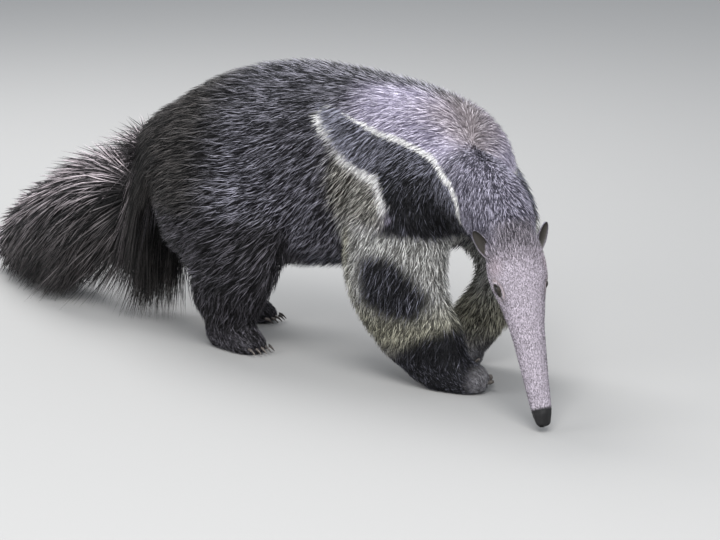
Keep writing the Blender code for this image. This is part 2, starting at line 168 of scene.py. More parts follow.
def curve_through(rows, steps=STEPS):
    """Points on a Catmull-Rom curve through the rows."""
    rows = np.array(rows, float)
    found = []
    for i in range(len(rows) - 1):
        p, q, r, s = rows[max(i - 1, 0)], rows[i], rows[i + 1], rows[min(i + 2, len(rows) - 1)]
        for t in np.arange(steps) / steps:
            found.append(0.5 * (2 * q + (r - p) * t + (2 * p - 5 * q + 4 * r - s) * t**2
                                + (3 * q - p - 3 * r + s) * t**3))
    return np.array(found + [rows[-1]])


def middle_of(name):
    """The middle of a solid's box."""
    low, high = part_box(name)
    return np.array((low + high) / 2)


head_along = unit(SNOUT_TIP - HEAD_BASE)
head_left = middle_of("eye_L") - middle_of("eye_R")
head_left = unit(head_left - head_along * (head_left @ head_along))
head_top = np.cross(head_along, head_left)
HEAD_LENGTH = float(np.linalg.norm(SNOUT_TIP - HEAD_BASE))


def line_of(places, top, lean=0.0):
    """A line with its stations and its directions ahead, top and left. The lean turns its top to the left."""
    ahead = unit(np.gradient(places, axis=0))
    top = unit(top - ahead * (top * ahead).sum(1, keepdims=True))
    left = np.cross(top, ahead)
    return {
        "places": places,
        "station": np.concatenate([[0], np.cumsum(np.linalg.norm(np.diff(places, axis=0), axis=1))]),
        "ahead": ahead,
        "top": top * np.cos(lean) + left * np.sin(lean),
        "left": left * np.cos(lean) - top * np.sin(lean),
    }


def on_line(points, line):
    """For each point: station, signed angle (left is positive), distance, and the ways ahead and down."""
    nearest = np.empty(len(points), int)
    for start in range(0, len(points), BLOCK):
        block = points[start:start + BLOCK]
        nearest[start:start + BLOCK] = ((block[:, None, :] - line["places"][None]) ** 2).sum(2).argmin(1)
    away = points - line["places"][nearest]
    ahead, top, left = line["ahead"][nearest], line["top"][nearest], line["left"][nearest]
    along = (away * ahead).sum(1)
    away = away - ahead * along[:, None]
    angle = np.arctan2((away * left).sum(1), (away * top).sum(1))
    down = left * np.cos(angle)[:, None] - top * np.sin(angle)[:, None]
    down *= np.where(angle < 0, -1, 1)[:, None]
    return line["station"][nearest] + along, angle, np.linalg.norm(away, axis=1), ahead, down


bone = curve_through(BACKBONE)
bone_length = np.concatenate([[0], np.cumsum(np.linalg.norm(np.diff(bone[:, :3], axis=0), axis=1))])
share_of_head = fade(bone_length, NECK_STATION, HEAD_STATION)[:, None]
bone_top = (1 - share_of_head) * np.array((0, 0, 1.0)) + share_of_head * head_top
backbone = line_of(bone[:, :3], bone_top, np.radians(bone[:, 3:]))
print("backbone", round(float(bone_length[-1]), 3), "m, head", round(HEAD_LENGTH, 3), "m")

# %% [markdown]
# ## The skin
# The solids of flesh are copied, grown by half a millimetre so that the thin cuts between them close, and
# remeshed into one surface, because a skin sewn from parts would show its seams. The bushy tail is mostly
# hair, so its skin is a slim core, measured from the tail's solids and remeshed with the rest.

# %% One surface from the solids
SWELL = 0.0005
SKIN_VOXEL = 0.0068
SKIN_ROUNDS = 15
TAIL_ROOT = (0.033, 0.180, 0.330)
TAIL_ROOT_RADIUS = 0.045
TAIL_STATIONS = 8
CORE_BEGINS, CORE_ENDS = 0.10, 0.03
SLAB_HALF = 0.03
TUBE_STEPS, TUBE_SIDES, TAIL_STEPS = 5, 20, 8
CORE_HEIGHT = 0.72
CORE_WIDTH_SHARE = 0.40
CORE_HEIGHT_SHARE = 0.20
CORE_LEAST = 0.008
# Behind this plane the solids hold the hair of the tail's root, and a rounded rump takes their place
RUMP_CUT = 0.219
# Places along the middle of the rump, its half width and its half height there
RUMP = [
    (0.045, 0.175, 0.342, 0.110, 0.115),
    (0.046, 0.203, 0.337, 0.143, 0.139),
    (0.044, 0.226, 0.330, 0.132, 0.130),
    (0.040, 0.252, 0.320, 0.108, 0.112),
    (0.036, 0.276, 0.310, 0.078, 0.086),
    (0.033, 0.300, 0.303, 0.045, 0.055),
]
TAIL_FROM, TAIL_SOLIDS_FROM = 0.305, 0.2726


def merged(names, swell=0.0):
    """The named solids in one mesh, their loose triangles joined."""
    whole = bmesh.new()
    for name in names:
        shape = bmesh.new()
        shape.from_mesh(cad[name].data)
        bmesh.ops.remove_doubles(shape, verts=shape.verts, dist=WELD)
        shape.normal_update()
        for vert in shape.verts:
            vert.co += vert.normal * swell
        mesh = bpy.data.meshes.new(name)
        shape.to_mesh(mesh)
        shape.free()
        whole.from_mesh(mesh)
        bpy.data.meshes.remove(mesh)
    mesh = bpy.data.meshes.new("merged")
    whole.to_mesh(mesh)
    whole.free()
    return mesh


def tube_faces(count, sides):
    faces = []
    for i in range(count - 1):
        for k in range(sides):
            a, b = i * sides + k, i * sides + (k + 1) % sides
            faces.append((a, b, b + sides, a + sides))
    faces.append(tuple(range(sides - 1, -1, -1)))
    faces.append(tuple((count - 1) * sides + k for k in range(sides)))
    return faces


def tail_core_rows():
    """Places and half sizes of the tail's core, from slices of the tail's solids."""
    verts = places_of(merged(tail_names))
    rear, end = TAIL_ROOT[1] + CORE_BEGINS, verts[:, 1].max() - CORE_ENDS
    rows = [(*TAIL_ROOT, TAIL_ROOT_RADIUS, TAIL_ROOT_RADIUS)]
    for y in np.linspace(rear, end, TAIL_STATIONS):
        slab = verts[np.abs(verts[:, 1] - y) < SLAB_HALF]
        low, high = slab.min(0), slab.max(0)
        wide, _, tall = (high - low) / 2
        height = low[2] + CORE_HEIGHT * 2 * tall
        rows.append((
            (low[0] + high[0]) / 2, y, height,
            max(CORE_WIDTH_SHARE * wide, CORE_LEAST), max(CORE_HEIGHT_SHARE * tall, CORE_LEAST),
        ))
    return rows


def tube_mesh(name, rows, sides=TUBE_SIDES):
    """A closed tube through rows of (x, y, z, half width, half height)."""
    rows = curve_through(rows, TUBE_STEPS)
    ahead = unit(np.gradient(rows[:, :3], axis=0))
    across = unit(np.cross(ahead, (0, 0, 1.0)))
    over = np.cross(across, ahead)
    verts = []
    for i, row in enumerate(rows):
        for turn in np.arange(sides) * 2 * math.pi / sides:
            verts.append(row[:3] + across[i] * row[3] * math.cos(turn) + over[i] * row[4] * math.sin(turn))
    return mesh_of(name, verts, tube_faces(len(rows), sides))


def clipped(mesh, point, facing):
    """Cuts off what lies beyond a plane and closes the mesh there."""
    shape = bmesh.new()
    shape.from_mesh(mesh)
    everything = shape.verts[:] + shape.edges[:] + shape.faces[:]
    cut = bmesh.ops.bisect_plane(shape, geom=everything, plane_co=point, plane_no=facing, clear_outer=True)
    rim = [item for item in cut["geom_cut"] if isinstance(item, bmesh.types.BMEdge)]
    bmesh.ops.holes_fill(shape, edges=rim, sides=0)
    shape.to_mesh(mesh)
    shape.free()
    return mesh


def joined(meshes):
    shape = bmesh.new()
    for mesh in meshes:
        shape.from_mesh(mesh)
    bmesh.ops.recalc_face_normals(shape, faces=shape.faces)
    whole = bpy.data.meshes.new("joined")
    shape.to_mesh(whole)
    shape.free()
    return whole


tail_rows = tail_core_rows()
tail_core = curve_through(tail_rows, TAIL_STEPS)
front_names = [n for n in flesh_names if n not in tail_names + ear_names + ["trunk_rear"]]
rump = clipped(merged(["trunk_rear"], SWELL), (0, RUMP_CUT, 0), (0, 1, 0))
flesh = [merged(front_names, SWELL), rump, tube_mesh("rump", RUMP), tube_mesh("core", tail_rows)]
skin_thing = new_object("skin", joined(flesh))
remesh = skin_thing.modifiers.new("one_surface", "REMESH")
remesh.mode = "VOXEL"
remesh.voxel_size = SKIN_VOXEL
even = skin_thing.modifiers.new("even", "SMOOTH")
even.factor = 0.5
even.iterations = SKIN_ROUNDS
skin_thing.data = evaluated(skin_thing)
print("skin", len(skin_thing.data.polygons), "faces before the head is refined")

# %% [markdown]
# ## Finer faces where the detail is
# The coat of the head is short enough to show its form, so its faces are cut into smaller ones, and again
# round the eyes and the nose. A finer remesh of the whole animal would cost far more faces. The facets of
# the solids are then smoothed away.

# %% Refine the head
HEAD_CUTS = 1
FACE_CUTS = 2
RUMP_ROUNDS, HEAD_ROUNDS, FACE_ROUNDS, NOSE_ROUNDS = 24, 16, 4, 24
HEAD_BEGINS, HEAD_IS_BARE = -0.12, 0.24
HEAD_RADIUS = 0.085
# Places along y between which the smoothing of the rump comes and goes
RUMP_FROM, RUMP_TO = (0.17, 0.23), (0.30, 0.36)
# Shares of the head's length between which each smoothing sets in
HEAD_FROM, FACE_FROM, NOSE_SMOOTH_FROM = (HEAD_BEGINS, 0.02), (0.0, 0.1), (0.84, 0.90)
EYE_RADIUS = 0.0085
FINE_ROUND_EYE = 0.024
FINE_FROM = 0.86
# Where the eyes are: share of the head's length, metres from its middle line, degrees over its side
EYE_SHARE, EYE_OUT, EYE_OVER = 0.253, 0.0443, 13


def on_head(points):
    """Places on the head: share of its length from the base, metres to its left and towards its top."""
    away = points - HEAD_BASE
    return (away @ head_along) / HEAD_LENGTH, away @ head_left, away @ head_top


def is_on_head(points):
    share, left, top = on_head(points)
    return (share > HEAD_BEGINS) & (np.hypot(left, top) < HEAD_RADIUS)


def on_head_from(points, low, high):
    """0 before one share of the head's length, 1 beyond the other, and 0 off the head."""
    return np.where(is_on_head(points), fade(on_head(points)[0], low, high), 0.0)


def head_point(share, left, top):
    return HEAD_BASE + head_along * share * HEAD_LENGTH + head_left * left + head_top * top


def eye_place(side):
    over = math.radians(EYE_OVER)
    return head_point(EYE_SHARE, side * EYE_OUT * math.cos(over), EYE_OUT * math.sin(over))


eyes = {"R": eye_place(-1), "L": eye_place(1)}


def near_eye(points):
    """Metres to the nearer eye."""
    return np.min([np.linalg.norm(points - place, axis=1) for place in eyes.values()], axis=0)


def refine(mesh, chosen, cuts):
    """Cuts the faces whose verts are all chosen into smaller ones."""
    shape = bmesh.new()
    shape.from_mesh(mesh)
    shape.verts.ensure_lookup_table()
    edges = [edge for edge in shape.edges if chosen[edge.verts[0].index] and chosen[edge.verts[1].index]]
    bmesh.ops.subdivide_edges(shape, edges=edges, cuts=cuts, use_grid_fill=True)
    shape.to_mesh(mesh)
    shape.free()


def smooth_where(mesh, weight, rounds):
    """Evens out the verts by their weight from 0 to 1."""
    places = places_of(mesh)
    for _ in range(rounds):
        places += (spread(mesh, places, 1) - places) * weight[:, None]
    move_to(mesh, places)


skin = skin_thing.data
behind = places_of(skin)[:, 1]
smooth_where(skin, fade(behind, *RUMP_FROM) * (1 - fade(behind, *RUMP_TO)), RUMP_ROUNDS)
refine(skin, is_on_head(places_of(skin)), HEAD_CUTS)
places = places_of(skin)
smooth_where(skin, on_head_from(places, *HEAD_FROM), HEAD_ROUNDS)
places = places_of(skin)
fine = is_on_head(places) & ((near_eye(places) < FINE_ROUND_EYE) | (on_head(places)[0] > FINE_FROM))
refine(skin, fine, FACE_CUTS)
smooth_where(skin, on_head_from(places_of(skin), *FACE_FROM), FACE_ROUNDS)
smooth_where(skin, on_head_from(places_of(skin), *NOSE_SMOOTH_FROM), NOSE_ROUNDS)
print("skin", len(skin.polygons), "faces with the finer head")

# %% [markdown]
# ## The coat's measures
# The skin lies inside the solids by the depth of the coat, which differs from part to part. So does the
# length, width and lie of the hair. One table holds these by part of the body. Each vert takes the row of
# the solid that it is nearest to, and the rows are evened out so that no part ends in a step.

# %% Coat rows
# Depth of the coat, length and width of a tuft, how densely tufts stand, and how far a tuft keeps to the skin
COAT = {
    "head": (0.0013, 0.0056, 0.0013, 190000, 1.0),
    "nose": (0.0008, 0.0020, 0.0005, 0, 1.0),
    "ear": (0.0006, 0.0036, 0.0008, 160000, 0.9),
    "neck": (0.0120, 0.0260, 0.0013, 125000, 1.0),
    "trunk_front": (0.0150, 0.0330, 0.0013, 78000, 1.0),
    "trunk_middle": (0.0170, 0.0450, 0.0016, 60000, 1.0),
    "trunk_rear": (0.0190, 0.0580, 0.0018, 45000, 0.9),
    "foreleg_upper": (0.0160, 0.0350, 0.0014, 60000, 0.9),
    "foreleg_lower": (0.0140, 0.0320, 0.0014, 65000, 0.9),
    "forefoot": (0.0050, 0.0140, 0.0010, 160000, 1.0),
    "hindleg_upper": (0.0200, 0.0560, 0.0018, 45000, 0.9),
    "hindleg_lower": (0.0150, 0.0440, 0.0017, 60000, 0.9),
    "hindfoot": (0.0050, 0.0140, 0.0010, 160000, 1.0),
    "tail": (0.0, 0.1600, 0.0020, 26000, 0.0),
}
EVEN_ROUNDS = 24
RAY = 0.6
TAIL_REACH = 0.3


def coat_key(name):
    """The coat row that a solid uses."""
    for key in sorted(COAT, key=len, reverse=True):
        if name.startswith(key):
            return key
    raise KeyError(name)


def solids_tree(names):
    """A tree to find the nearest face of the solids, and the solid that each face is of."""
    verts, faces, owner = [], [], []
    for number, name in enumerate(names):
        start = len(verts)
        mesh = cad[name].data
        verts += [vert.co.copy() for vert in mesh.vertices]
        faces += [[start + k for k in face.vertices] for face in mesh.polygons]
        owner += [number] * len(mesh.polygons)
    return BVHTree.FromPolygons(verts, faces), owner


def reach_to(points, ways, tree):
    """How far solids stand out over points in given ways, seen from outside."""
    found = np.zeros(len(points))
    for i, (point, way) in enumerate(zip(points, ways)):
        gap = tree.ray_cast(Vector(point + way * RAY), Vector(-way), RAY)[3]
        found[i] = RAY - gap if gap is not None else 0
    return found


def coat_rows(mesh, names, points):
    """The coat's measures for every vert, evened out. Towards the face the head's coat grows thinner."""
    table = np.array([COAT[coat_key(name)] for name in names])
    whole = spread(mesh, table, EVEN_ROUNDS)
    bare = fade(on_head(points)[0], HEAD_BEGINS, HEAD_IS_BARE)[:, None]
    hairy = bare * np.array(COAT["head"]) + (1 - bare) * np.array(COAT["neck"])
    return np.where((np.char.startswith(names, "head") | is_on_head(points))[:, None], hairy, whole)


def owners(points):
    """The name of the solid of flesh that each point is nearest to."""
    tree, owner = solids_tree(flesh_names)
    nearest = [owner[tree.find_nearest(Vector(point))[2]] for point in points]
    return np.array(flesh_names)[nearest]


def is_tail(points):
    return (points[:, 1] > TAIL_FROM) & (np.abs(points[:, 0] - TAIL_ROOT[0]) < TAIL_REACH)


print("coat measures for", len(COAT), "parts of the body")

# %% [markdown]
# ## Fill out the head, sink the rest
# Smoothing has thinned the long snout. Rays from outside tell how far the solids of the head stand out over
# the skin, and the skin moves there. All over, it then sinks by the depth of the coat.

# %% Fill out and sink
HEAD_FILLS = 3
FILL_MOST, FILL_ROUNDS = 0.006, 6
FILL_NOSE_ROUNDS = 12
# Shares of the head's length between which filling out and the smoothing of the nose set in
FILL_FROM, FILL_NOSE_FROM = (0.0, 0.12), (0.84, 0.92)
SOLE = 0.030
BODY_ROUNDS = 6

head_mesh = merged([name for name in flesh_names if name.startswith(("head", "nose"))], SWELL)
head_tree = BVHTree.FromPolygons(
    [vert.co for vert in head_mesh.vertices], [tuple(face.vertices) for face in head_mesh.polygons]
)
for _ in range(HEAD_FILLS):
    places, normals = places_of(skin), normals_of(skin)
    weight = on_head_from(places, *FILL_FROM)
    filled = np.zeros(len(places))
    chosen = weight > 0
    filled[chosen] = reach_to(places[chosen], normals[chosen], head_tree)
    filled = spread(skin, np.minimum(filled, FILL_MOST) * weight, FILL_ROUNDS)
    move_to(skin, places + normals * filled[:, None])
    smooth_where(skin, on_head_from(places, *FILL_NOSE_FROM), FILL_NOSE_ROUNDS)

places = places_of(skin)
owner = owners(places)
owner[np.char.startswith(owner, "ear")] = "head"
owner[np.char.startswith(owner, "tail")] = "trunk_rear"
depth = coat_rows(skin, owner, places)[:, 0]
depth *= (1 - fade(places[:, 1], TAIL_SOLIDS_FROM, TAIL_FROM)) * fade(places[:, 2], 0.0, SOLE)
places -= normals_of(skin) * depth[:, None]
move_to(skin, places)
smooth_where(skin, np.where(is_on_head(places), 0, 1.0), BODY_ROUNDS)
print("skin up to", round(float(depth.max() * 1000), 1), "mm inside the solids")

# %% [markdown]
# ## The face
# A giant anteater's eye is small and dark, with thick lids and a fold above it. Each eye is a ball of its
# own, so the skin opens round it: verts inside an almond sink below the ball, and verts on its rim ride just
# over it. Moving verts by a formula keeps the skin whole, where a cut would leave an open edge. The nostrils
# and the small mouth at the tip are pressed in by their distance from a place.

# %% Lids, folds, nostrils and mouth
LID_LENGTH, LID_HEIGHT = 0.0080, 0.0048
LID_THICK, LID_SINK = 0.0009, 0.0016
LID_TILT = math.radians(12)
# Rings round the eye, counted in almonds: 1 is the rim of the lids
RIM_RINGS, SKIN_RINGS = (0.90, 1.02), (1.25, 2.6)
FOLD_AT, CREASE_AT = 1.45, 2.00
FOLD_WIDTH, CREASE_WIDTH = 0.16, 0.14
FOLD_HEIGHT, CREASE_DEPTH = 0.0012, 0.0013
TEAR_DEPTH, TEAR_WIDTH, TEAR_LENGTH, TEAR_SLOPE = 0.0010, 0.0022, 0.030, 0.10
TIP_MIDDLE = 0.955
# The way from there to a nostril: along the snout, outwards and towards the top
NOSTRIL_WAY = (0.80, 0.46, 0.38)
NOSTRIL_SIZE = 0.0042
NOSTRIL_DEPTH = 0.0045
NOSE_SHARE, NOSE_RADIUS = 0.9, 0.04
MOUTH_FROM, MOUTH_ANGLE = 0.925, 118
MOUTH_DEPTH, MOUTH_WIDTH = 0.0014, 0.0012


def bump(gap, width):
    return np.exp(-((gap / width) ** 2))


def eye_frame(centre):
    """The way an eye looks out and the way over it."""
    out = unit(centre - head_point(on_head(centre[None])[0][0], 0, 0))
    return out, unit(head_top - out * (head_top @ out))


def round_eye(points, centre):
    """Places round an eye: height over its middle, metres back and up, and the ring, 1 on the lids' rim."""
    out, over = eye_frame(centre)
    away = points - centre
    back, up = -(away @ head_along), away @ over
    long = back * math.cos(LID_TILT) + up * math.sin(LID_TILT)
    tall = up * math.cos(LID_TILT) - back * math.sin(LID_TILT)
    return away @ out, back, up, np.hypot(long / LID_LENGTH, tall / LID_HEIGHT)


def open_lids(points, centre):
    """The places of the verts after the skin has opened round one eye."""
    out = eye_frame(centre)[0]
    height, back, up, ring = round_eye(points, centre)
    ball = np.sqrt(np.maximum(EYE_RADIUS**2 - back**2 - up**2, 0))
    rim = ball + LID_THICK
    lid = np.where(ring < 1.0, ball - LID_SINK, rim)
    lid = lid + (rim - lid) * fade(ring, *RIM_RINGS)
    near = 1 - fade(ring, *SKIN_RINGS)
    raised = height + (np.maximum(lid, np.where(ring < 1.1, -1, height)) - height) * near
    arch = fade(back + up, -0.003, 0.004)
    raised += arch * FOLD_HEIGHT * bump(ring - FOLD_AT, FOLD_WIDTH)
    raised -= arch * CREASE_DEPTH * bump(ring - CREASE_AT, CREASE_WIDTH)
    tear = fade(-back, LID_LENGTH, 0.012) * fade(TEAR_LENGTH + back, 0, 0.02)
    raised -= TEAR_DEPTH * tear * bump(up + TEAR_SLOPE * back, TEAR_WIDTH)
    close = (np.abs(back) < TEAR_LENGTH) & (np.abs(up) < 0.020) & (height > -0.010)
    return points + out * (np.where(close, raised - height, 0))[:, None]


def press_nose(points, normals):
    """Nostrils and mouth line pressed into the tip of the snout."""
    share, left, top = on_head(points)
    sunk = np.zeros(len(points))
    away = points - head_point(TIP_MIDDLE, 0, 0)
    for side in (-1, 1):
        ahead, outwards, up = NOSTRIL_WAY
        way = unit(head_along * ahead + head_left * side * outwards + head_top * up)
        gap = np.linalg.norm(away - way * np.linalg.norm(away, axis=1)[:, None], axis=1)
        sunk = np.maximum(sunk, NOSTRIL_DEPTH * (1 - fade(gap, 0.35 * NOSTRIL_SIZE, NOSTRIL_SIZE)))
    turn = np.degrees(np.arctan2(np.abs(left), top))
    gap = np.radians(turn - MOUTH_ANGLE) * np.hypot(left, top)
    sunk = np.maximum(sunk, MOUTH_DEPTH * bump(gap, MOUTH_WIDTH) * fade(share, MOUTH_FROM, MOUTH_FROM + 0.02))
    is_nose = (share > NOSE_SHARE) & (np.hypot(left, top) < NOSE_RADIUS)
    return points - normals * (sunk * is_nose)[:, None]


before = places_of(skin)
places = before
for place in eyes.values():
    places = open_lids(places, place)
places = press_nose(places, normals_of(skin))
move_to(skin, places)
print("lids, nostrils and mouth moved", int((np.abs(places - before).max(1) > WELD).sum()), "verts")

# %% [markdown]
# ## The ears
# The ears are short cupped leaves. Each is built as a closed leaf with a thin rim, because a remesh would
# lose so thin a wall. A Boolean union makes it one with the head, so that the skin runs into it.

# %% Ears
EAR_ROOT, EAR_TIP = (0.085, 0.045, 0.000), (-0.075, 0.073, 0.004)
EAR_LENGTH, EAR_WIDTH = 0.061, 0.026
EAR_THICK = 0.0028
EAR_ROWS, EAR_COLUMNS = 26, 18
EAR_CUP = 0.42
# The ear runs on into the head by this share of its length, so that the union finds both walls
EAR_BEGINS = -0.10
EAR_RIM, EAR_RIM_AT, EAR_RIM_WIDTH = 0.0012, 0.92, 0.10
# How far the mouth of the ear looks outwards, to the top of the head and along it
EAR_MOUTH = (0.55, 0.80, 0.25)


def ear_half_width(share):
    """Half the ear's width at a share of its length: widest near the middle, round at the tip."""
    rounding = max(1 - (max(share - 0.30, 0) / 0.70) ** 2.2, 0.012)
    return 0.25 * EAR_WIDTH * (1 + math.sin(math.pi * min(max(share, 0), 0.5))) * math.sqrt(rounding)


def ear_frame(side):
    """An ear's root and its directions: up to the tip, out of its mouth, and across."""
    root = head_point(EAR_ROOT[0], side * EAR_ROOT[1], EAR_ROOT[2])
    rise = unit(head_point(EAR_TIP[0], side * EAR_TIP[1], EAR_TIP[2]) - root)
    outwards, up, ahead = EAR_MOUTH
    mouth = unit(head_left * side * outwards + head_top * up + head_along * ahead)
    mouth = unit(mouth - rise * (mouth @ rise))
    return root, rise, mouth, np.cross(rise, mouth) * side


def ear_mesh(side):
    root, rise, mouth, across = ear_frame(side)
    width = EAR_COLUMNS + 1
    verts, faces = [], []
    for layer in (1, -1):
        for v in np.linspace(EAR_BEGINS, 1, EAR_ROWS + 1):
            for u in np.linspace(-1, 1, width):
                bulge = 1 - u * u
                cup = EAR_CUP * EAR_WIDTH * bulge * (1 - 0.55 * v)
                cup -= EAR_RIM * bump(abs(u) - EAR_RIM_AT, EAR_RIM_WIDTH)
                thick = EAR_THICK * (1.25 - 0.6 * v) * (0.35 + 0.65 * bulge) / 2
                spot = root + rise * (EAR_LENGTH * v) + across * (ear_half_width(v) * u)
                verts.append(spot - mouth * (cup - layer * thick))
    count = (EAR_ROWS + 1) * width
    for i in range(EAR_ROWS):
        for j in range(EAR_COLUMNS):
            a = i * width + j
            faces.append((a, a + 1, a + 1 + width, a + width))
            faces.append((count + a, count + a + width, count + a + 1 + width, count + a + 1))
    rim = list(range(width)) + [i * width + width - 1 for i in range(1, EAR_ROWS + 1)]
    rim += [EAR_ROWS * width + j for j in range(width - 2, -1, -1)]
    rim += [i * width for i in range(EAR_ROWS - 1, 0, -1)]
    for a, b in zip(rim, rim[1:] + rim[:1]):
        faces.append((b, a, count + a, count + b))
    return joined([mesh_of("ear", verts, faces)])


for side in (-1, 1):
    ear = new_object("ear", ear_mesh(side))
    ear.hide_render = True
    union = skin_thing.modifiers.new("ear", "BOOLEAN")
    union.operation = "UNION"
    union.solver = "EXACT"
    union.object = ear
    skin_thing.data = evaluated(skin_thing)
    bpy.data.objects.remove(ear)
skin = skin_thing.data
print("skin with ears", len(skin.vertices), "verts", len(skin.polygons), "faces")

# %% [markdown]
# ## Eyes and claws
# The eyes are balls of their own, dark and wet. Claws are smooth curved horn. Each foot's claws keep their
# measured shape, and a fine remesh rounds them, which needs no new outline.

# %% Eyes and claws
CLAW_VOXEL = 0.0012
CLAW_ROUNDS = 6
eye_things, claw_things = [], []


def shade_smooth(mesh):
    mesh.polygons.foreach_set("use_smooth", np.ones(len(mesh.polygons), bool))
    mesh.update()


for side, place in eyes.items():
    ball = bmesh.new()
    bmesh.ops.create_uvsphere(ball, u_segments=48, v_segments=24, radius=EYE_RADIUS)
    bmesh.ops.translate(ball, verts=ball.verts, vec=Vector(place))
    mesh = bpy.data.meshes.new("eye")
    ball.to_mesh(mesh)
    ball.free()
    shade_smooth(mesh)
    thing = new_object("eyeball_" + side, mesh)
    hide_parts("eye_" + side)
    eye_things.append(thing)

for foot in ("foreclaw", "hindclaw"):
    for side in "RL":
        names = [name for name in cad if name.startswith(foot) and name.endswith(side)]
        thing = new_object(f"{foot}s_{side}", merged(names))
        rounded = thing.modifiers.new("rounded", "REMESH")
        rounded.mode = "VOXEL"
        rounded.voxel_size = CLAW_VOXEL
        softer = thing.modifiers.new("softer", "SMOOTH")
        softer.iterations = CLAW_ROUNDS
        thing.data = evaluated(thing)
        shade_smooth(thing.data)
        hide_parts(*names)
        claw_things.append(thing)
print(len(eye_things), "eyes and claws of", len(claw_things), "feet")

# %% [markdown]
# ## The lie of the coat
# On a giant anteater the hair parts at a whorl between the shoulders. Behind it the hair lies towards the
# tail, before it towards the head, and at the sides it turns down. One field of directions round that point
# gives this for trunk and neck. Legs, tail, head and ears have a direction each, and all are evened out
# where they meet. Combing each part by hand would leave a step at every border.

# %% Directions for every vert
# The whorl's station, and how far the parting moves ahead of it at the sides
WHORL = 0.92
SIDE_SHIFT = 0.08
# Degrees round the body: where the parting moves, and where the hair turns down less and then no longer
SHIFT_TURN, SIDE_TURN, BELLY_TURN = (40, 110), (60, 120), (120, 165)
# How strongly the hair turns down on the back, and how much less at the sides and towards the rear
DOWN, DOWN_LESS = 1.6, 0.4
REAR_LESS, REAR_FROM, REAR_OVER = 0.5, 0.65, 0.35
# How much the hair of the rump hangs besides. Each FROM is a station, and OVER a length from there
HANG, HANG_FROM, HANG_OVER = 0.30, 0.42, 0.3
# Shares of the head's length between which the hair takes the head's own direction
FACE_LIE_FROM = (-0.14, 0.06)
COMB_ROUNDS = 14
FORELEG_LIE, FORELEG_REAR_LIE = np.array((0, 0.22, -1.0)), np.array((0, 0.80, -0.75))
THIGH_LIE, SHANK_LIE = np.array((0, 0.90, -0.50)), np.array((0, 0.30, -1.0))
FOOT_LIE = np.array((0, -1.0, -0.45))
EAR_OUT = 0.036


def degrees_fade(angle, low, high):
    return fade(angle, math.radians(low), math.radians(high))


def trunk_lie(points):
    """Away from the whorl along the backbone, and down the more, the further round the body."""
    station, angle, radius, ahead, down = on_line(points, backbone)
    turn = np.abs(angle)
    forward = station - WHORL - SIDE_SHIFT * degrees_fade(turn, *SHIFT_TURN)
    sideways = (turn * radius + 0.01) * (1 - degrees_fade(turn, *BELLY_TURN))
    towards_rear = fade(REAR_FROM - station, 0, REAR_OVER)
    sideways *= (DOWN - DOWN_LESS * degrees_fade(turn, *SIDE_TURN)) * (1 - REAR_LESS * towards_rear)
    sideways += HANG * fade(HANG_FROM - station, 0, HANG_OVER) * np.sin(turn)
    field = unit(ahead * forward[:, None] + down * sideways[:, None])
    face = fade(on_head(points)[0], *FACE_LIE_FROM)[:, None]
    return unit(field * (1 - face) - head_along * face)


def leg_lie(names, normals):
    """Down the legs and back, more so on the rear of a foreleg, and forwards on the feet."""
    fore = np.char.startswith(names, "fore")
    upper = np.char.find(names, "upper") >= 0
    foot = np.char.find(names, "foot") >= 0
    rear = fade(normals[:, 1], 0.1, 0.7)[:, None]
    front_leg = FORELEG_LIE * (1 - rear) + FORELEG_REAR_LIE * rear
    hind_leg = np.where(upper[:, None], THIGH_LIE, SHANK_LIE)
    return unit(np.where(foot[:, None], FOOT_LIE, np.where(fore[:, None], front_leg, hind_leg)))


skin = skin_thing.data
places, normals = places_of(skin), normals_of(skin)
share, left, top = on_head(places)
is_head, tail = is_on_head(places), is_tail(places)
owner = owners(places)
owner[tail] = "tail"
owner[np.char.startswith(owner, "tail_") & ~tail] = "trunk_rear"
is_ear = np.char.startswith(owner, "ear") & (np.abs(left) > EAR_OUT)
owner[np.char.startswith(owner, "ear") & ~is_ear] = "head"
is_leg = np.char.startswith(owner, "fore") | np.char.startswith(owner, "hind")
tail_line = line_of(tail_core[:, :3], np.array((0, 0, 1.0)))

comb = trunk_lie(places)
comb[is_leg] = leg_lie(owner, normals)[is_leg]
comb[tail] = on_line(places, tail_line)[3][tail]
comb = spread(skin, comb, COMB_ROUNDS)
for side in (-1, 1):
    comb[is_ear & (left * side > 0)] = ear_frame(side)[1]
keeps = np.where(tail, 0, 1.0)[:, None]
comb = unit(comb - normals * (comb * normals).sum(1, keepdims=True) * keeps)
print("directions for", len(comb), "verts")

# %% [markdown]
# ## Length, width and rise of the hair
# The tail of a giant anteater is a flag of long coarse hair on a thin core. How long the hair is follows from
# the frame: rays from outside measure how far the solids stand out over the skin in the hair's direction.
# A length set by hand would leave the tail's outline to chance.

# %% Measures for every vert
RISE_SHARE = 0.95
# The tail's hair streams back, spreads a little and hangs at the sides
TAIL_SPREAD, TAIL_HANG = 0.20, 0.85
TAIL_SHARE = 0.86
TAIL_LENGTH = (0.06, 0.26)
TAIL_RISE = 0.006
TAIL_DROOP, LEG_DROOP, BELLY_DROOP = 0.10, 0.05, 0.22


def line_at(line, station):
    """The places of a line at stations along it."""
    return np.stack([np.interp(station, line["station"], column) for column in line["places"].T], 1)


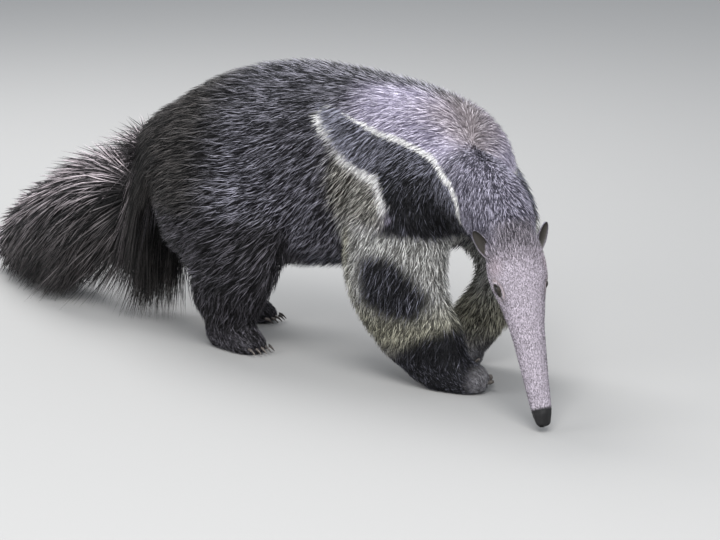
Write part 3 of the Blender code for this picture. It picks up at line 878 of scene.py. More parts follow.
rows = coat_rows(skin, np.where(is_ear, "head", owner), places)
rows[is_ear] = COAT["ear"]
depth, length, width, thick, keep = rows.T.copy()
rise = RISE_SHARE * depth
along_tail, turn_tail = on_line(places, tail_line)[:2]
out = places - line_at(tail_line, along_tail)
hanging = (TAIL_HANG * degrees_fade(np.abs(turn_tail), 25, 100))[:, None] * np.array((0, 0, 1.0))
stream = unit(comb + TAIL_SPREAD * unit(out * (1, 0, 1)) - hanging)
reach = reach_to(places[tail], stream[tail], solids_tree(tail_names)[0])
length[tail] = np.clip(TAIL_SHARE * reach, *TAIL_LENGTH)
comb[tail] = stream[tail]
normals[tail] = unit(out)[tail]
rise[tail] = TAIL_RISE
keep[tail] = 0.0
belly = fade(-normals[:, 2], 0.35, 0.85) * ~tail * ~is_leg * ~is_head
droop = np.where(tail, TAIL_DROOP, np.where(is_leg, LEG_DROOP, BELLY_DROOP * belly))
print("tail hair", round(float(length[tail].min()), 3), "to", round(float(length[tail].max()), 3), "m long")

# %% [markdown]
# ## Long hair, short hair and bare places
# Long hair hangs like a curtain from the rump behind the legs, and its length is measured by rays too. The
# hair is shortest at the whorl. Nose, lids and the inside of the ears have none, and the soles very little.

# %% Curtain, whorl and bare places
CURTAIN_FROM = 0.20
# The way in which the curtain hangs, divided by its length
CURTAIN_LIE = np.array((0, 0.22, -1.0)) / 1.024
CURTAIN_LEAST, CURTAIN_SHARE = 0.05, 0.84
CURTAIN_MORE = 2.4
# Skin that looks up more than this has no curtain
CURTAIN_FACING = 0.35
NOSE_FROM, NOSE_FADE = 0.898, 0.03
NOSE_DARK = (NOSE_FROM - 0.012, NOSE_FROM + 0.008)
# The lids are bare within these rings, and not deeper than this under the eye's middle
LIDS_BARE, LIDS_LOW = (1.15, 1.5), -0.01
EAR_BARE_FACING = 0.15
SOLE_BARE = (0.001, 0.006)
WHORL_SHORT, WHORL_ROUND = 0.55, (0.01, 0.10)


def round_ear(side):
    """Verts of one ear, how far each looks into its mouth, and its place across and up the ear."""
    root, up, mouth, across = ear_frame(side)
    away = places - root
    return is_ear & (left * side > 0), normals @ mouth, away @ across, (away @ up) / EAR_LENGTH


curtain = (owner == "trunk_rear") & ~tail & (places[:, 1] > CURTAIN_FROM)
curtain &= normals[:, 2] < CURTAIN_FACING
hang = np.zeros(len(places))
rear_tree = solids_tree(["trunk_rear", "tail_base"])[0]
hang[curtain] = reach_to(places[curtain], np.tile(CURTAIN_LIE, (curtain.sum(), 1)), rear_tree)
hang = np.where(hang > CURTAIN_LEAST, hang, 0)
curtain_share = spread(skin, (hang > 0).astype(float), 4)
length = np.where(hang > 0, CURTAIN_SHARE * hang, length)
keep = keep * (1 - curtain_share)
comb += (CURTAIN_LIE - comb) * curtain_share[:, None]
thick *= 1 + (CURTAIN_MORE - 1) * curtain_share

bald = on_head_from(places, NOSE_FROM, NOSE_FROM + NOSE_FADE)
for place in eyes.values():
    height, *_, ring = round_eye(places, place)
    bald = np.maximum(bald, np.where(height > LIDS_LOW, 1 - fade(ring, *LIDS_BARE), 0))
for side in (-1, 1):
    this_ear, facing_mouth = round_ear(side)[:2]
    bald = np.where(this_ear & (facing_mouth > EAR_BARE_FACING), 1, bald)
thick = thick * (1 - bald) * fade(places[:, 2], *SOLE_BARE)
station, angle, radius = on_line(places, backbone)[:3]
from_whorl = np.hypot(station - WHORL, angle * radius)
length *= WHORL_SHORT + (1 - WHORL_SHORT) * fade(from_whorl, *WHORL_ROUND)
rise, length, width = spread(skin, np.stack([rise, length, width], 1), 3).T
print("curtain on", int(curtain.sum()), "verts, bare", round(100 * float((bald > 0.5).mean()), 1), "%")

# %% [markdown]
# ## The markings
# A black band runs from throat and chest up to a point on the back. A white stripe edges it above and a paler
# line below, and the forelegs are pale with a dark patch and dark wrists. Borders are stored as distances in
# metres, positive inside, because a distance stays sharp on coarse faces, where a stored colour would blur.

# %% Borders
# Border points as (station along the backbone, degrees from the middle of the back)
STRIPE = [(0.650, 40), (0.683, 45), (0.732, 53), (0.798, 68), (0.869, 77), (0.909, 79), (0.970, 79),
          (1.025, 76), (1.055, 83), (1.065, 94), (1.067, 104)]
LOWER_EDGE = [(0.597, 37), (0.610, 43), (0.635, 54), (0.659, 64), (0.686, 73), (0.720, 83), (0.767, 95),
              (0.822, 106), (0.868, 117), (0.898, 130), (0.913, 142)]
UNDERSIDE = [(0.75, 155), (0.50, 158), (0.40, 200), (1.13, 200), (1.12, 150)]
WEDGE = [(0.659, 68), (0.686, 73), (0.720, 83), (0.767, 95), (0.868, 117), (0.898, 130), (0.915, 150),
         (0.707, 150), (0.650, 122), (0.640, 96)]
WEDGE_RADIUS, WEDGE_SOFT = 0.16, 0.012
STRIPE_HALF, STRIPE_REAR_HALF = 0.0056, 0.0005
EDGE_HALF = 0.0084
EDGE_STRONG = 0.74
# Shares of each line's length between which it sets in, reaches its full width or fades out
STRIPE_SETS_IN, STRIPE_WIDENS = (0.01, 0.10), (0.02, 0.35)
EDGE_SETS_IN, EDGE_FADES_OUT, EDGE_END = (0.04, 0.12), (0.01, 0.10), 0.985
# The lower line is weaker by this much, round this share of its length
EDGE_GAP, EDGE_GAP_AT, EDGE_GAP_WIDTH = 0.28, 0.33, 0.10
PALE_TOP = 0.305
# Dark parts of the right foreleg as places along y and z: a patch on its outer side, and wrist and foot
PATCH = [(-0.385, 0.250), (-0.452, 0.260), (-0.492, 0.224), (-0.518, 0.178), (-0.502, 0.144), (-0.447, 0.144),
         (-0.385, 0.168)]
WRIST = [(-0.640, 0.160), (-0.550, 0.118), (-0.500, 0.098), (-0.450, 0.062), (-0.400, 0.045), (-0.380, -0.05),
         (-0.590, -0.050), (-0.600, 0.050)]
CALF_HEIGHT, CALF_HALF = 0.2, 0.03
FAR, WELL_OUTSIDE = 9.0, -0.05


def gap_to(xs, ys, rows):
    """Distance from each point to a broken line in the same measures, and where on the line it is, 0 to 1."""
    best, where = np.full(len(xs), FAR), np.zeros(len(xs))
    for i in range(len(rows) - 1):
        (ax, ay), (bx, by) = rows[i], rows[i + 1]
        long = (bx - ax) ** 2 + (by - ay) ** 2
        t = np.clip(((xs - ax) * (bx - ax) + (ys - ay) * (by - ay)) / long, 0, 1)
        gap = np.hypot(xs - ax - t * (bx - ax), ys - ay - t * (by - ay))
        where = np.where(gap < best, (i + t) / (len(rows) - 1), where)
        best = np.minimum(gap, best)
    return best, where


def scaled(rows, radius):
    """Rows of station and degrees with the angle turned into metres round a body of that radius."""
    return [(station, np.radians(angle) * radius) for station, angle in rows]


def inside(xs, ys, rows):
    """Which points lie inside a closed outline, by counting the edges that lie beside each."""
    found = np.zeros(len(xs), bool)
    for (ax, ay), (bx, by) in zip(rows, rows[1:] + rows[:1]):
        crosses = (ay > ys) != (by > ys)
        reach = ax + (ys - ay) * (bx - ax) / np.where(by == ay, TINY, by - ay)
        found ^= crosses & (xs < reach)
    return found


def signed(xs, ys, rows):
    """Distance to a closed outline, positive inside."""
    gap, _ = gap_to(xs, ys, rows + rows[:1])
    return np.where(inside(xs, ys, rows), gap, -gap)


# %% Band, lines and dark parts
def bands(points):
    """Signed distance into the black, a number across the white lines (-1 to 1 on one), and its strength."""
    station, angle, radius = on_line(points, backbone)[:3]
    around = np.abs(angle) * radius
    over, where = gap_to(station, around, scaled(STRIPE, radius))
    under, where_under = gap_to(station, around, scaled(LOWER_EDGE, radius))
    low, _ = gap_to(station, around, scaled([LOWER_EDGE[-1]] + UNDERSIDE[:2], radius))
    black = inside(station, np.degrees(np.abs(angle)), STRIPE + UNDERSIDE[::-1] + LOWER_EDGE[::-1])
    side = np.where(black, 1, -1)
    dark = np.minimum(np.minimum(over, under), low) * side
    half = STRIPE_REAR_HALF + (STRIPE_HALF - STRIPE_REAR_HALF) * fade(where, *STRIPE_WIDENS)
    stripe = side * over / half
    edge = np.where(where_under < EDGE_END, side * under / EDGE_HALF + 1, FAR * side)
    strength = EDGE_STRONG - EDGE_GAP * bump(where_under - EDGE_GAP_AT, EDGE_GAP_WIDTH)
    strength *= fade(where_under, *EDGE_SETS_IN) * fade(1 - where_under, *EDGE_FADES_OUT)
    first = np.abs(stripe) < np.abs(edge)
    return dark, np.where(first, stripe, edge), np.where(first, fade(where, *STRIPE_SETS_IN), strength)


def wedge_share(points):
    """The speckled pale field behind the shoulder, 0 to 1."""
    station, angle = on_line(points, backbone)[:2]
    gap = signed(station, np.abs(angle) * WEDGE_RADIUS, scaled(WEDGE, WEDGE_RADIUS))
    return fade(gap, -WEDGE_SOFT, WEDGE_SOFT)


def leg_dark(points, names):
    """Signed distance into the dark parts of the forelegs. The left leg stands elsewhere along y."""
    found = np.full(len(points), WELL_OUTSIDE)
    middles = {}
    for side, sign in (("R", -1), ("L", 1)):
        leg = np.char.startswith(names, "fore") & np.char.endswith(names, side)
        calf = leg & (np.abs(points[:, 2] - CALF_HEIGHT) < CALF_HALF)
        middles[side] = points[calf].mean(0)
        x, y, z = points[leg].T
        y = y - (middles[side] - middles["R"])[1]
        patch = np.minimum(signed(y, z, PATCH), sign * (x - middles[side][0]))
        found[leg] = np.maximum(patch, signed(y, z, WRIST))
    return found


LINE_REACH = 3.5
# Distances on the forelegs count less, which makes their borders softer
LEG_SOFTER = 0.28
is_fore, is_hind = np.char.startswith(owner, "fore"), np.char.startswith(owner, "hind")
dark, white, strength = bands(places)
off_body = is_hind | is_ear | tail
dark[off_body] = WELL_OUTSIDE
lined = strength * ((np.abs(white) < LINE_REACH) & ~off_body & ~is_leg)
fore_dark = np.maximum(np.minimum(dark, places[:, 2] - PALE_TOP), leg_dark(places, owner))
dark = np.where(is_fore, fore_dark * LEG_SOFTER, dark)
print("black on", round(100 * float((dark > 0).mean())), "% of the verts")

# %% [markdown]
# ## Colours of the regions
# A hair of the coat is dark at its root and paler at its tip, and how much so differs over the body. Each
# region therefore has two colours and a soft weight for every vert. They are laid over one another like
# washes of paint, which needs no image and runs over every border alike. The dark roots are partly painted
# shade deep in the coat, and the lilac-blue tint of the pale tips on the dark coat is painted sheen of sky
# light.
# region therefore has two colours and a soft weight for every vert. They are laid over one another like
# washes of paint, which needs no image and runs over every border alike.

# %% Root and tip colours
# Root and tip of each region: the roots carry painted shade as well as their own dark, and the lilac-blue
# tips of the dark regions a painted sheen
COLOURS = {
    "flank": ((0.008, 0.007, 0.010), (0.460, 0.450, 0.530)),
    "back": ((0.012, 0.012, 0.015), (0.370, 0.360, 0.420)),
    # Pale coat of the shoulders, brightened further as a painted highlight of sky light on the top of the
    # body
    "shoulder": ((0.260, 0.238, 0.322), (0.900, 0.840, 0.990)),
    "whorl": ((0.240, 0.205, 0.215), (0.700, 0.625, 0.655)),
    "neck": ((0.060, 0.056, 0.078), (0.660, 0.630, 0.765)),
    "head": ((0.066, 0.057, 0.065), (0.720, 0.645, 0.735)),
    "crown": ((0.016, 0.014, 0.018), (0.640, 0.580, 0.640)),
    "brow": ((0.230, 0.180, 0.195), (0.620, 0.520, 0.560)),
    "lid": ((0.270, 0.215, 0.225), (0.600, 0.490, 0.510)),
    "rump": ((0.004, 0.0035, 0.0035), (0.140, 0.127, 0.122)),
    "curtain": ((0.003, 0.003, 0.003), (0.085, 0.078, 0.076)),
    "hindleg": ((0.005, 0.0045, 0.0055), (0.190, 0.178, 0.205)),
    "tail": ((0.012, 0.010, 0.011), (0.740, 0.650, 0.680)),
    "wedge": ((0.030, 0.027, 0.022), (0.720, 0.700, 0.640)),
    "foreleg": ((0.105, 0.103, 0.096), (1.000, 0.990, 0.960)),
    "wool": ((0.040, 0.038, 0.028), (0.620, 0.595, 0.450)),
    "toes": ((0.090, 0.085, 0.095), (0.420, 0.410, 0.430)),
    "nose": ((0.003, 0.003, 0.003), (0.011, 0.010, 0.011)),
}


def mixed(end, weights):
    """Region colours by weight, at the root (0) or the tip (1). A later region covers the earlier ones."""
    found = np.tile(np.array(COLOURS["flank"][end]), (len(places), 1))
    for region, weight in weights:
        found += (np.array(COLOURS[region][end]) - found) * weight[:, None]
    return found


print(len(COLOURS), "regions of colour")

# %% [markdown]
# ## Where the regions lie
# Each weight is made of soft steps between two stations along the backbone, two angles round it, two shares
# of the head's length or two heights. The weights are then evened out a little over the skin.

# %% Region weights
WASH_ROUNDS = 5
turn = np.abs(angle)
on_trunk = 1.0 - is_leg
# The upper shoulders: pale coat together with a painted highlight of light from above
shoulder = fade(station, 0.63, 0.74) * (1 - fade(station, 0.93, 1.02)) * degrees_fade(turn, 8, 24)
crown = (1 - fade(np.abs(share + 0.010), 0.020, 0.120)) * (1 - degrees_fade(turn, 28, 58))
foreleg_low = 1 - fade(places[:, 2], 0.12, 0.20)
regions = [
    ("back", (1 - degrees_fade(turn, 30, 75)) * on_trunk),
    ("rump", fade(0.42 - station, 0, 0.12)),
    ("shoulder", shoulder * on_trunk),
    ("whorl", (1 - fade(np.abs(station - 0.90), 0.02, 0.11)) * (1 - degrees_fade(turn, 25, 60)) * 0.75),
    ("neck", fade(station, 0.94, 1.03) * on_trunk),
    ("head", np.where(is_head | is_ear, fade(share, -0.12, 0.10), 0)),
    ("crown", np.where(is_head, crown, 0) * 0.8),
    ("wedge", wedge_share(places) * on_trunk),
    ("hindleg", is_hind * 1.0),
    ("foreleg", is_fore * 1.0),
    ("wool", is_fore * np.maximum(foreleg_low, fade(normals[:, 1], 0.3, 0.8)) * 0.9),
    ("toes", is_fore * (1 - fade(places[:, 2], 0.03, 0.10))),
    ("tail", tail * 1.0),
    ("curtain", np.maximum(curtain_share, 0.9 * degrees_fade(np.abs(turn_tail), 60, 130) * tail)),
]
regions = [(region, spread(skin, weight.astype(float), WASH_ROUNDS)) for region, weight in regions]
print(len(regions), "soft regions")

# %% [markdown]
# ## The face's own marks
# Round the small eye the skin is dark, with a paler rim of lid hair and a dark line running forward from its
# corner. The inside of the ear is bare and dark up to its pale rim, and the nose is black.

# %% Eyes, ears and nose
# How far the dark socket lies before and over the eye, and its half length and half height
SOCKET_AHEAD, SOCKET_OVER = 0.0030, 0.0008
SOCKET_LONG, SOCKET_TALL = 0.0150, 0.0108
# Rings round the socket, counted in its own size
SOCKET_RINGS = (0.78, 1.02)
LID_RING, LID_RING_WIDTH = 1.22, 0.16
DARK_RING, DARK_RING_WIDTH, DARK_RING_SHARE = 1.50, 0.15, 0.42
TEAR_MARK_WIDTH, TEAR_MARK_SHARE = 0.0036, 0.75
# Distances ahead of the eye between which the dark line sets in, and between which it ends
TEAR_MARK_BEGINS, TEAR_MARK_ENDS = (0.004, 0.012), (0.02, 0.034)
# A soft line that rises to the front parts the skin over the eye from that under it
OVER_EYE_SLOPE, OVER_EYE_SOFT = 0.4, 0.003
# No marks lie deeper than this under the eye's middle
MARKS_LOW = -0.012
BROW_PLACE, BROW_SHARE, BROW_SOFT = (0.15, 0.046, 0.018), 0.4, (0.006, 0.030)
EAR_EDGE = (0.84, 0.97)
BARE_SKIN = np.array((0.018, 0.015, 0.012))
BARE_TIP = 2.2

for side in (-1, 1):
    along, outwards, over = BROW_PLACE
    gap = np.linalg.norm(places - head_point(along, side * outwards, over), axis=1)
    regions.append(("brow", (1 - fade(gap, *BROW_SOFT)) * BROW_SHARE))
bare = np.zeros(len(places))
for place in eyes.values():
    height, back, up = round_eye(places, place)[:3]
    near = (height > MARKS_LOW) & is_head
    around = np.hypot((back + SOCKET_AHEAD) / SOCKET_LONG, (up - SOCKET_OVER) / SOCKET_TALL)
    over_eye = fade(back * OVER_EYE_SLOPE + up, -OVER_EYE_SOFT, OVER_EYE_SOFT)
    socket = 1 - fade(around, *SOCKET_RINGS)
    tear = bump(up + TEAR_SLOPE * back, TEAR_MARK_WIDTH) * fade(-back, *TEAR_MARK_BEGINS)
    tear *= (1 - fade(-back, *TEAR_MARK_ENDS)) * TEAR_MARK_SHARE
    ring = bump(around - DARK_RING, DARK_RING_WIDTH) * over_eye * DARK_RING_SHARE
    bare = np.maximum(bare, near * np.maximum(np.maximum(socket, tear), ring))
    regions.append(("lid", near * bump(around - LID_RING, LID_RING_WIDTH) * (0.2 + 0.6 * over_eye)))
regions.append(("nose", on_head_from(places, *NOSE_DARK)))
for side in (-1, 1):
    this_ear, facing_mouth, across, up = round_ear(side)
    edge = np.abs(across) / np.array([ear_half_width(v) for v in up])
    bare = np.where(this_ear & (facing_mouth > 0.2), 1 - fade(edge, *EAR_EDGE), bare)
ground, tips = mixed(0, regions), mixed(1, regions)
ground += (BARE_SKIN - ground) * bare[:, None]
tips += (BARE_TIP * BARE_SKIN - tips) * bare[:, None]
print("bare skin on", int((bare > 0.5).sum()), "verts of eyes and ears")

# %% [markdown]
# ## How much sheen, how bright and how short
# Three more numbers steer the colours: the skin shows more where the coat is short, the black carries a
# painted sheen of grey streaks at the top of the band and none at the throat, and on forelegs and shoulders
# pale hair covers dark gaps, on the shoulders together with a painted highlight from above.

# %% Tones
# Added paleness on the shoulders, partly a painted highlight, and on the pale forelegs
SHOULDER_PALE_AND_HIGHLIGHT, LEG_BRIGHT = 0.15, 0.24
# The rear end of the band, high on the back, shows this much more painted sheen
BAND_REAR_SHEEN = 0.35
# How much of the painted sheen the black of the legs hides, and how much more below this height
LEG_SHEEN_HIDDEN, FOOT_SHEEN_HIDDEN, FOOT_TOP = 0.62, 0.28, 0.12
short = np.where(is_head, fade(share, -0.05, 0.15), 0)
# How much of the painted sheen the black hides: none at the top of the band, all of it round the throat
sheen_hidden = degrees_fade(turn, 78, 138) - BAND_REAR_SHEEN * (1 - fade(station, 0.62, 0.76))
sheen_hidden = np.where(is_leg, LEG_SHEEN_HIDDEN + FOOT_SHEEN_HIDDEN * (places[:, 2] < FOOT_TOP), sheen_hidden)
bright = LEG_BRIGHT * is_fore + SHOULDER_PALE_AND_HIGHLIGHT * shoulder * on_trunk
print("plain black on", round(100 * float(((sheen_hidden > 0.5) & (dark > 0)).mean())), "% of the verts")


# %% Write the attributes
def write(mesh, name, values):
    """Values on the verts as an attribute of one or three numbers."""
    kind = "FLOAT" if values.ndim == 1 else "FLOAT_VECTOR"
    if name in mesh.attributes:
        mesh.attributes.remove(mesh.attributes[name])
    made = mesh.attributes.new(name, kind, "POINT")
    made.data.foreach_set("value" if kind == "FLOAT" else "vector", values.astype(np.float32).ravel())


MARK_SCALE, LINE_SCALE = 20.0, 0.25
marks = np.clip(np.stack([dark * MARK_SCALE, white * LINE_SCALE, lined], 1), -1, 1)
write(skin, "comb", comb)
write(skin, "lift", normals)
write(skin, "measure", np.stack([length, width, rise], 1))
write(skin, "hold", np.stack([spread(skin, keep, 3), droop, np.zeros(len(places))], 1))
write(skin, "ground", ground)
write(skin, "tips", tips)
write(skin, "marks", marks)
write(skin, "tone", spread(skin, np.stack([short, sheen_hidden, bright], 1), WASH_ROUNDS))
print("attributes", [a.name for a in skin.attributes if not a.name.startswith(".")])

# %% [markdown]
# ## Formulas for node trees
# Node trees read better as formulas than as long lists of nodes and links. This class wraps a socket, so that
# sums of sockets add math nodes, both in shaders and in Geometry Nodes. One more method adds any other node.

# %% Sockets in formulas
FLOAT_RESULT = ("DOT_PRODUCT", "LENGTH", "DISTANCE")


class Value:
    """A socket of a node tree that can stand in a formula."""

    def __init__(self, tree, socket=None):
        self.tree = tree
        self.socket = socket

    def node(self, kind, inputs=(), out=0, **settings):
        """Any other node, its inputs by name or number, and the output asked for."""
        made = self.tree.nodes.new(kind)
        for name, value in settings.items():
            setattr(made, name, value)
        for key, value in dict(inputs).items():
            if isinstance(value, Value):
                self.tree.links.new(value.socket, made.inputs[key])
            elif made.inputs[key].type == "VECTOR" and isinstance(value, (int, float)):
                made.inputs[key].default_value = (value, value, value)
            else:
                made.inputs[key].default_value = value
        return Value(self.tree, made.outputs[out])

    def other(self, name):
        """Another output of the same node."""
        return Value(self.tree, self.socket.node.outputs[name])

    @staticmethod
    def is_wide(term):
        """Is it a vector or a colour?"""
        return isinstance(term, tuple) or (isinstance(term, Value) and term.socket.type in ("VECTOR", "RGBA"))

    def math(self, operation, *others):
        """A math node, or a vector math node where a term is a vector or a colour."""
        terms = (self, *others)
        wide = [term for term in terms if self.is_wide(term)]
        if not wide:
            return self.node("ShaderNodeMath", enumerate(terms), operation=operation)
        if operation == "MULTIPLY" and len(wide) == 1:
            slim = terms[0] if wide[0] is terms[1] else terms[1]
            return self.node("ShaderNodeVectorMath", {0: wide[0], 3: slim}, operation="SCALE")
        out = 1 if operation in FLOAT_RESULT else 0
        return self.node("ShaderNodeVectorMath", enumerate(terms), out, operation=operation)

    def __add__(self, other):
        return self.math("ADD", other)

    def __radd__(self, other):
        return self.math("ADD", other)

    def __mul__(self, other):
        return self.math("MULTIPLY", other)

    def __rmul__(self, other):
        return self.math("MULTIPLY", other)

    def __sub__(self, other):
        return self.math("SUBTRACT", other)

    def __rsub__(self, other):
        return self * -1.0 + other

    def __truediv__(self, other):
        return self.math("DIVIDE", other)

    def __rtruediv__(self, other):
        return self.node("ShaderNodeMath", {0: other, 1: self}, operation="DIVIDE")

    def fade(self, low, high):
        """0 below low, 1 above high."""
        return self.node("ShaderNodeMapRange", {0: self, 1: low, 2: high}, interpolation_type="SMOOTHSTEP")

    def blend(self, first, second):
        """This share of the second vector or colour in the first."""
        if self.tree.type == "SHADER":
            return self.node("ShaderNodeMix", {0: self, 6: first, 7: second}, 2, data_type="RGBA")
        return self.node("ShaderNodeMix", {0: self, 4: first, 5: second}, 1, data_type="VECTOR")

    def part(self, letter):
        """X, Y or Z of this vector."""
        return self.node("ShaderNodeSeparateXYZ", {0: self}, "XYZ".index(letter))

    def joined(self, second, third):
        """A vector with this number first."""
        return self.node("ShaderNodeCombineXYZ", {0: self, 1: second, 2: third})

    def unit(self):
        return self.math("NORMALIZE")

    def along(self, facing):
        """This vector without its part along a unit vector."""
        return self - facing * self.math("DOT_PRODUCT", facing)


print("formulas ready")

# %% [markdown]
# ## The coat's node tree
# Hair curves are lost in an export to meshes, so each tuft is a slim closed cone of a few faces. Roots are
# scattered over the skin by density, and each gets a cone whose points know how far along the tuft they are
# and where on its rim. The cones are made real, and every point is then set anew: it follows the comb, keeps
# to the skin where the coat does, and rises to the coat's depth at the tip. The patch of each tuft on the
# unwrap is stored as a UV map.

# %% The tree and its handy nodes
WHOLE_INPUTS = ("Seed", "Segments")
LOOK_INPUTS = ("Clump Size", "Clumping", "Stray", "Wave", "Bend", "Streak")


class CoatTree(Value):
    """The coat's tree, with the nodes that it needs most."""

    def __init__(self, tree):
        super().__init__(tree)
        self.skin = self.node("NodeGroupInput")
        self.place = self.node("GeometryNodeInputPosition")

    def ask(self, name):
        """One of the tree's inputs."""
        return self.skin.other(name)

    def named(self, name, kind="FLOAT_VECTOR"):
        return self.node("GeometryNodeInputNamedAttribute", {0: name}, data_type=kind)

    def store(self, geometry, name, value, kind="FLOAT_VECTOR", domain="POINT"):
        inputs = {0: geometry, 2: name, 3: value}
        return self.node("GeometryNodeStoreNamedAttribute", inputs, data_type=kind, domain=domain)

    def sampled(self, value, place):
        """A value of the skin, where it is nearest to a place."""
        inputs = {0: self.skin, 1: value, 3: place}
        return self.node("GeometryNodeSampleNearestSurface", inputs, data_type="FLOAT_VECTOR")

    def chances(self, seed, low=0.0):
        """Three random numbers from low to 1."""
        inputs = {0: (low, low, low), 1: (1.0, 1.0, 1.0), 8: seed}
        return self.node("FunctionNodeRandomValue", inputs, data_type="FLOAT_VECTOR")


def new_coat_tree():
    tree = bpy.data.node_groups.new("coat", "GeometryNodeTree")
    face = tree.interface
    face.new_socket("Skin", in_out="INPUT", socket_type="NodeSocketGeometry")
    for name in WHOLE_INPUTS:
        face.new_socket(name, in_out="INPUT", socket_type="NodeSocketInt")
    for name in LOOK_INPUTS:
        face.new_socket(name, in_out="INPUT", socket_type="NodeSocketFloat")
    face.new_socket("Material", in_out="INPUT", socket_type="NodeSocketMaterial")
    face.new_socket("Coat", in_out="OUTPUT", socket_type="NodeSocketGeometry")
    return CoatTree(tree)


# %% Roots
PATCH_SIZE, PATCH_MARGIN = 0.003, 0.02
STRAY_LENGTH = 0.05
MIDDLE = 0.45
STREAK_SHARE = 0.6


def bake_patch(coat):
    """The middle of a tuft's patch: angle round the piece and share of its length."""
    spot = coat.named("unwrap")
    turn = spot.part("X").math("ARCTAN2", spot.part("Y"))
    patch = (turn / (2 * math.pi) + 0.5).joined(spot.part("Z"), 0.0)
    return patch * (1 - 2 * PATCH_MARGIN) + (PATCH_MARGIN, PATCH_MARGIN, 0.0)


def scattered(coat):
    """Roots over the skin that know all that their tufts need."""
    place, facing, measure = coat.place, coat.named("lift").unit(), coat.named("measure")
    inputs = {0: coat.skin, 4: coat.named("thickness", "FLOAT"), 6: coat.ask("Seed")}
    points = coat.node("GeometryNodeDistributePointsOnFaces", inputs, distribute_method="RANDOM")
    size_up = 1.0 / coat.ask("Clump Size")
    clump = coat.node("ShaderNodeTexVoronoi", {0: place, 2: size_up}, 2)
    drift = coat.node("ShaderNodeTexNoise", {0: place, 2: size_up * 0.6, 3: 1.0}, 1) - (0.5, 0.5, 0.5)
    calmer = (STRAY_LENGTH / measure.part("X")).math("MINIMUM", 1.0)
    lie = coat.named("comb") + drift * coat.ask("Wave") + coat.chances(11, -1.0) * coat.ask("Stray") * calmer
    keep = coat.named("hold").part("X")
    lie = (lie.along(facing) * keep + lie * (1.0 - keep)).unit()
    middle = place + lie * measure.part("X") * MIDDLE
    known = {
        "root": place,
        "facing": facing,
        "lie": lie,
        "pull": (clump - place).along(facing) * coat.ask("Clumping"),
        "chance": coat.chances(5),
        "ground": coat.sampled(coat.named("ground"), middle),
        "tips": coat.sampled(coat.named("tips"), middle),
        "tone": coat.sampled(coat.named("tone"), middle),
        "patch": bake_patch(coat),
    }
    for name, value in known.items():
        points = coat.store(points, name, value)
    streak = coat.node("ShaderNodeTexNoise", {0: place, 2: 1.0 / coat.ask("Streak"), 3: 1.0}).fade(0.38, 0.62)
    shade = streak * STREAK_SHARE + coat.chances(7).part("X") * (1 - STREAK_SHARE)
    return coat.store(points, "shade", shade, "FLOAT")


# %% Cones
TUFT_SIDES = 3


def cones(coat, points):
    """A closed cone on each root. Its points know their side of the tuft and how far along it they are."""
    inputs = {0: TUFT_SIDES, 1: coat.ask("Segments"), 3: 0.0, 4: 1.0, 5: 1.0}
    cone = coat.node("GeometryNodeMeshCone", inputs, fill_type="NGON")
    height = coat.place.part("Z")
    left_over = (1.0 - height).math("MAXIMUM", 0.001)
    form = (coat.place.part("X") / left_over).joined(coat.place.part("Y") / left_over, height)
    tufts = coat.node("GeometryNodeInstanceOnPoints", {0: points, 2: coat.store(cone, "form", form)})
    return coat.node("GeometryNodeRealizeInstances", {0: tufts})


# %% Tufts laid along the body
ROOT_DEPTH = 0.0012
FLOOR_GAP = 0.0015
# The least length, rise and width of a tuft, and what chance adds, as shares of the coat's measures
LENGTH_LEAST, LENGTH_CHANCE = 0.65, 0.60
RISE_LEAST, RISE_CHANCE = 0.30, 0.85
WIDTH_LEAST, WIDTH_CHANCE = 0.40, 0.25
FLATNESS = 0.6
# A tuft's half width at its root, and what is added towards the tip of its cone
HALF_AT_ROOT, HALF_ADDED = 0.7, 0.9
# How late the tips of a clump draw together, and how early a tuft rises
PULL_POWER, EARLY_RISE = 1.4, 1.5
# The marks of a tuft are read from here to there along it
MARKS_FROM, MARKS_OVER = 0.16, 0.64
SCRATCH = ("root", "facing", "lie", "pull", "chance", "patch", "form", "comb", "lift", "measure", "hold",
           "thickness", "unwrap", "shade")


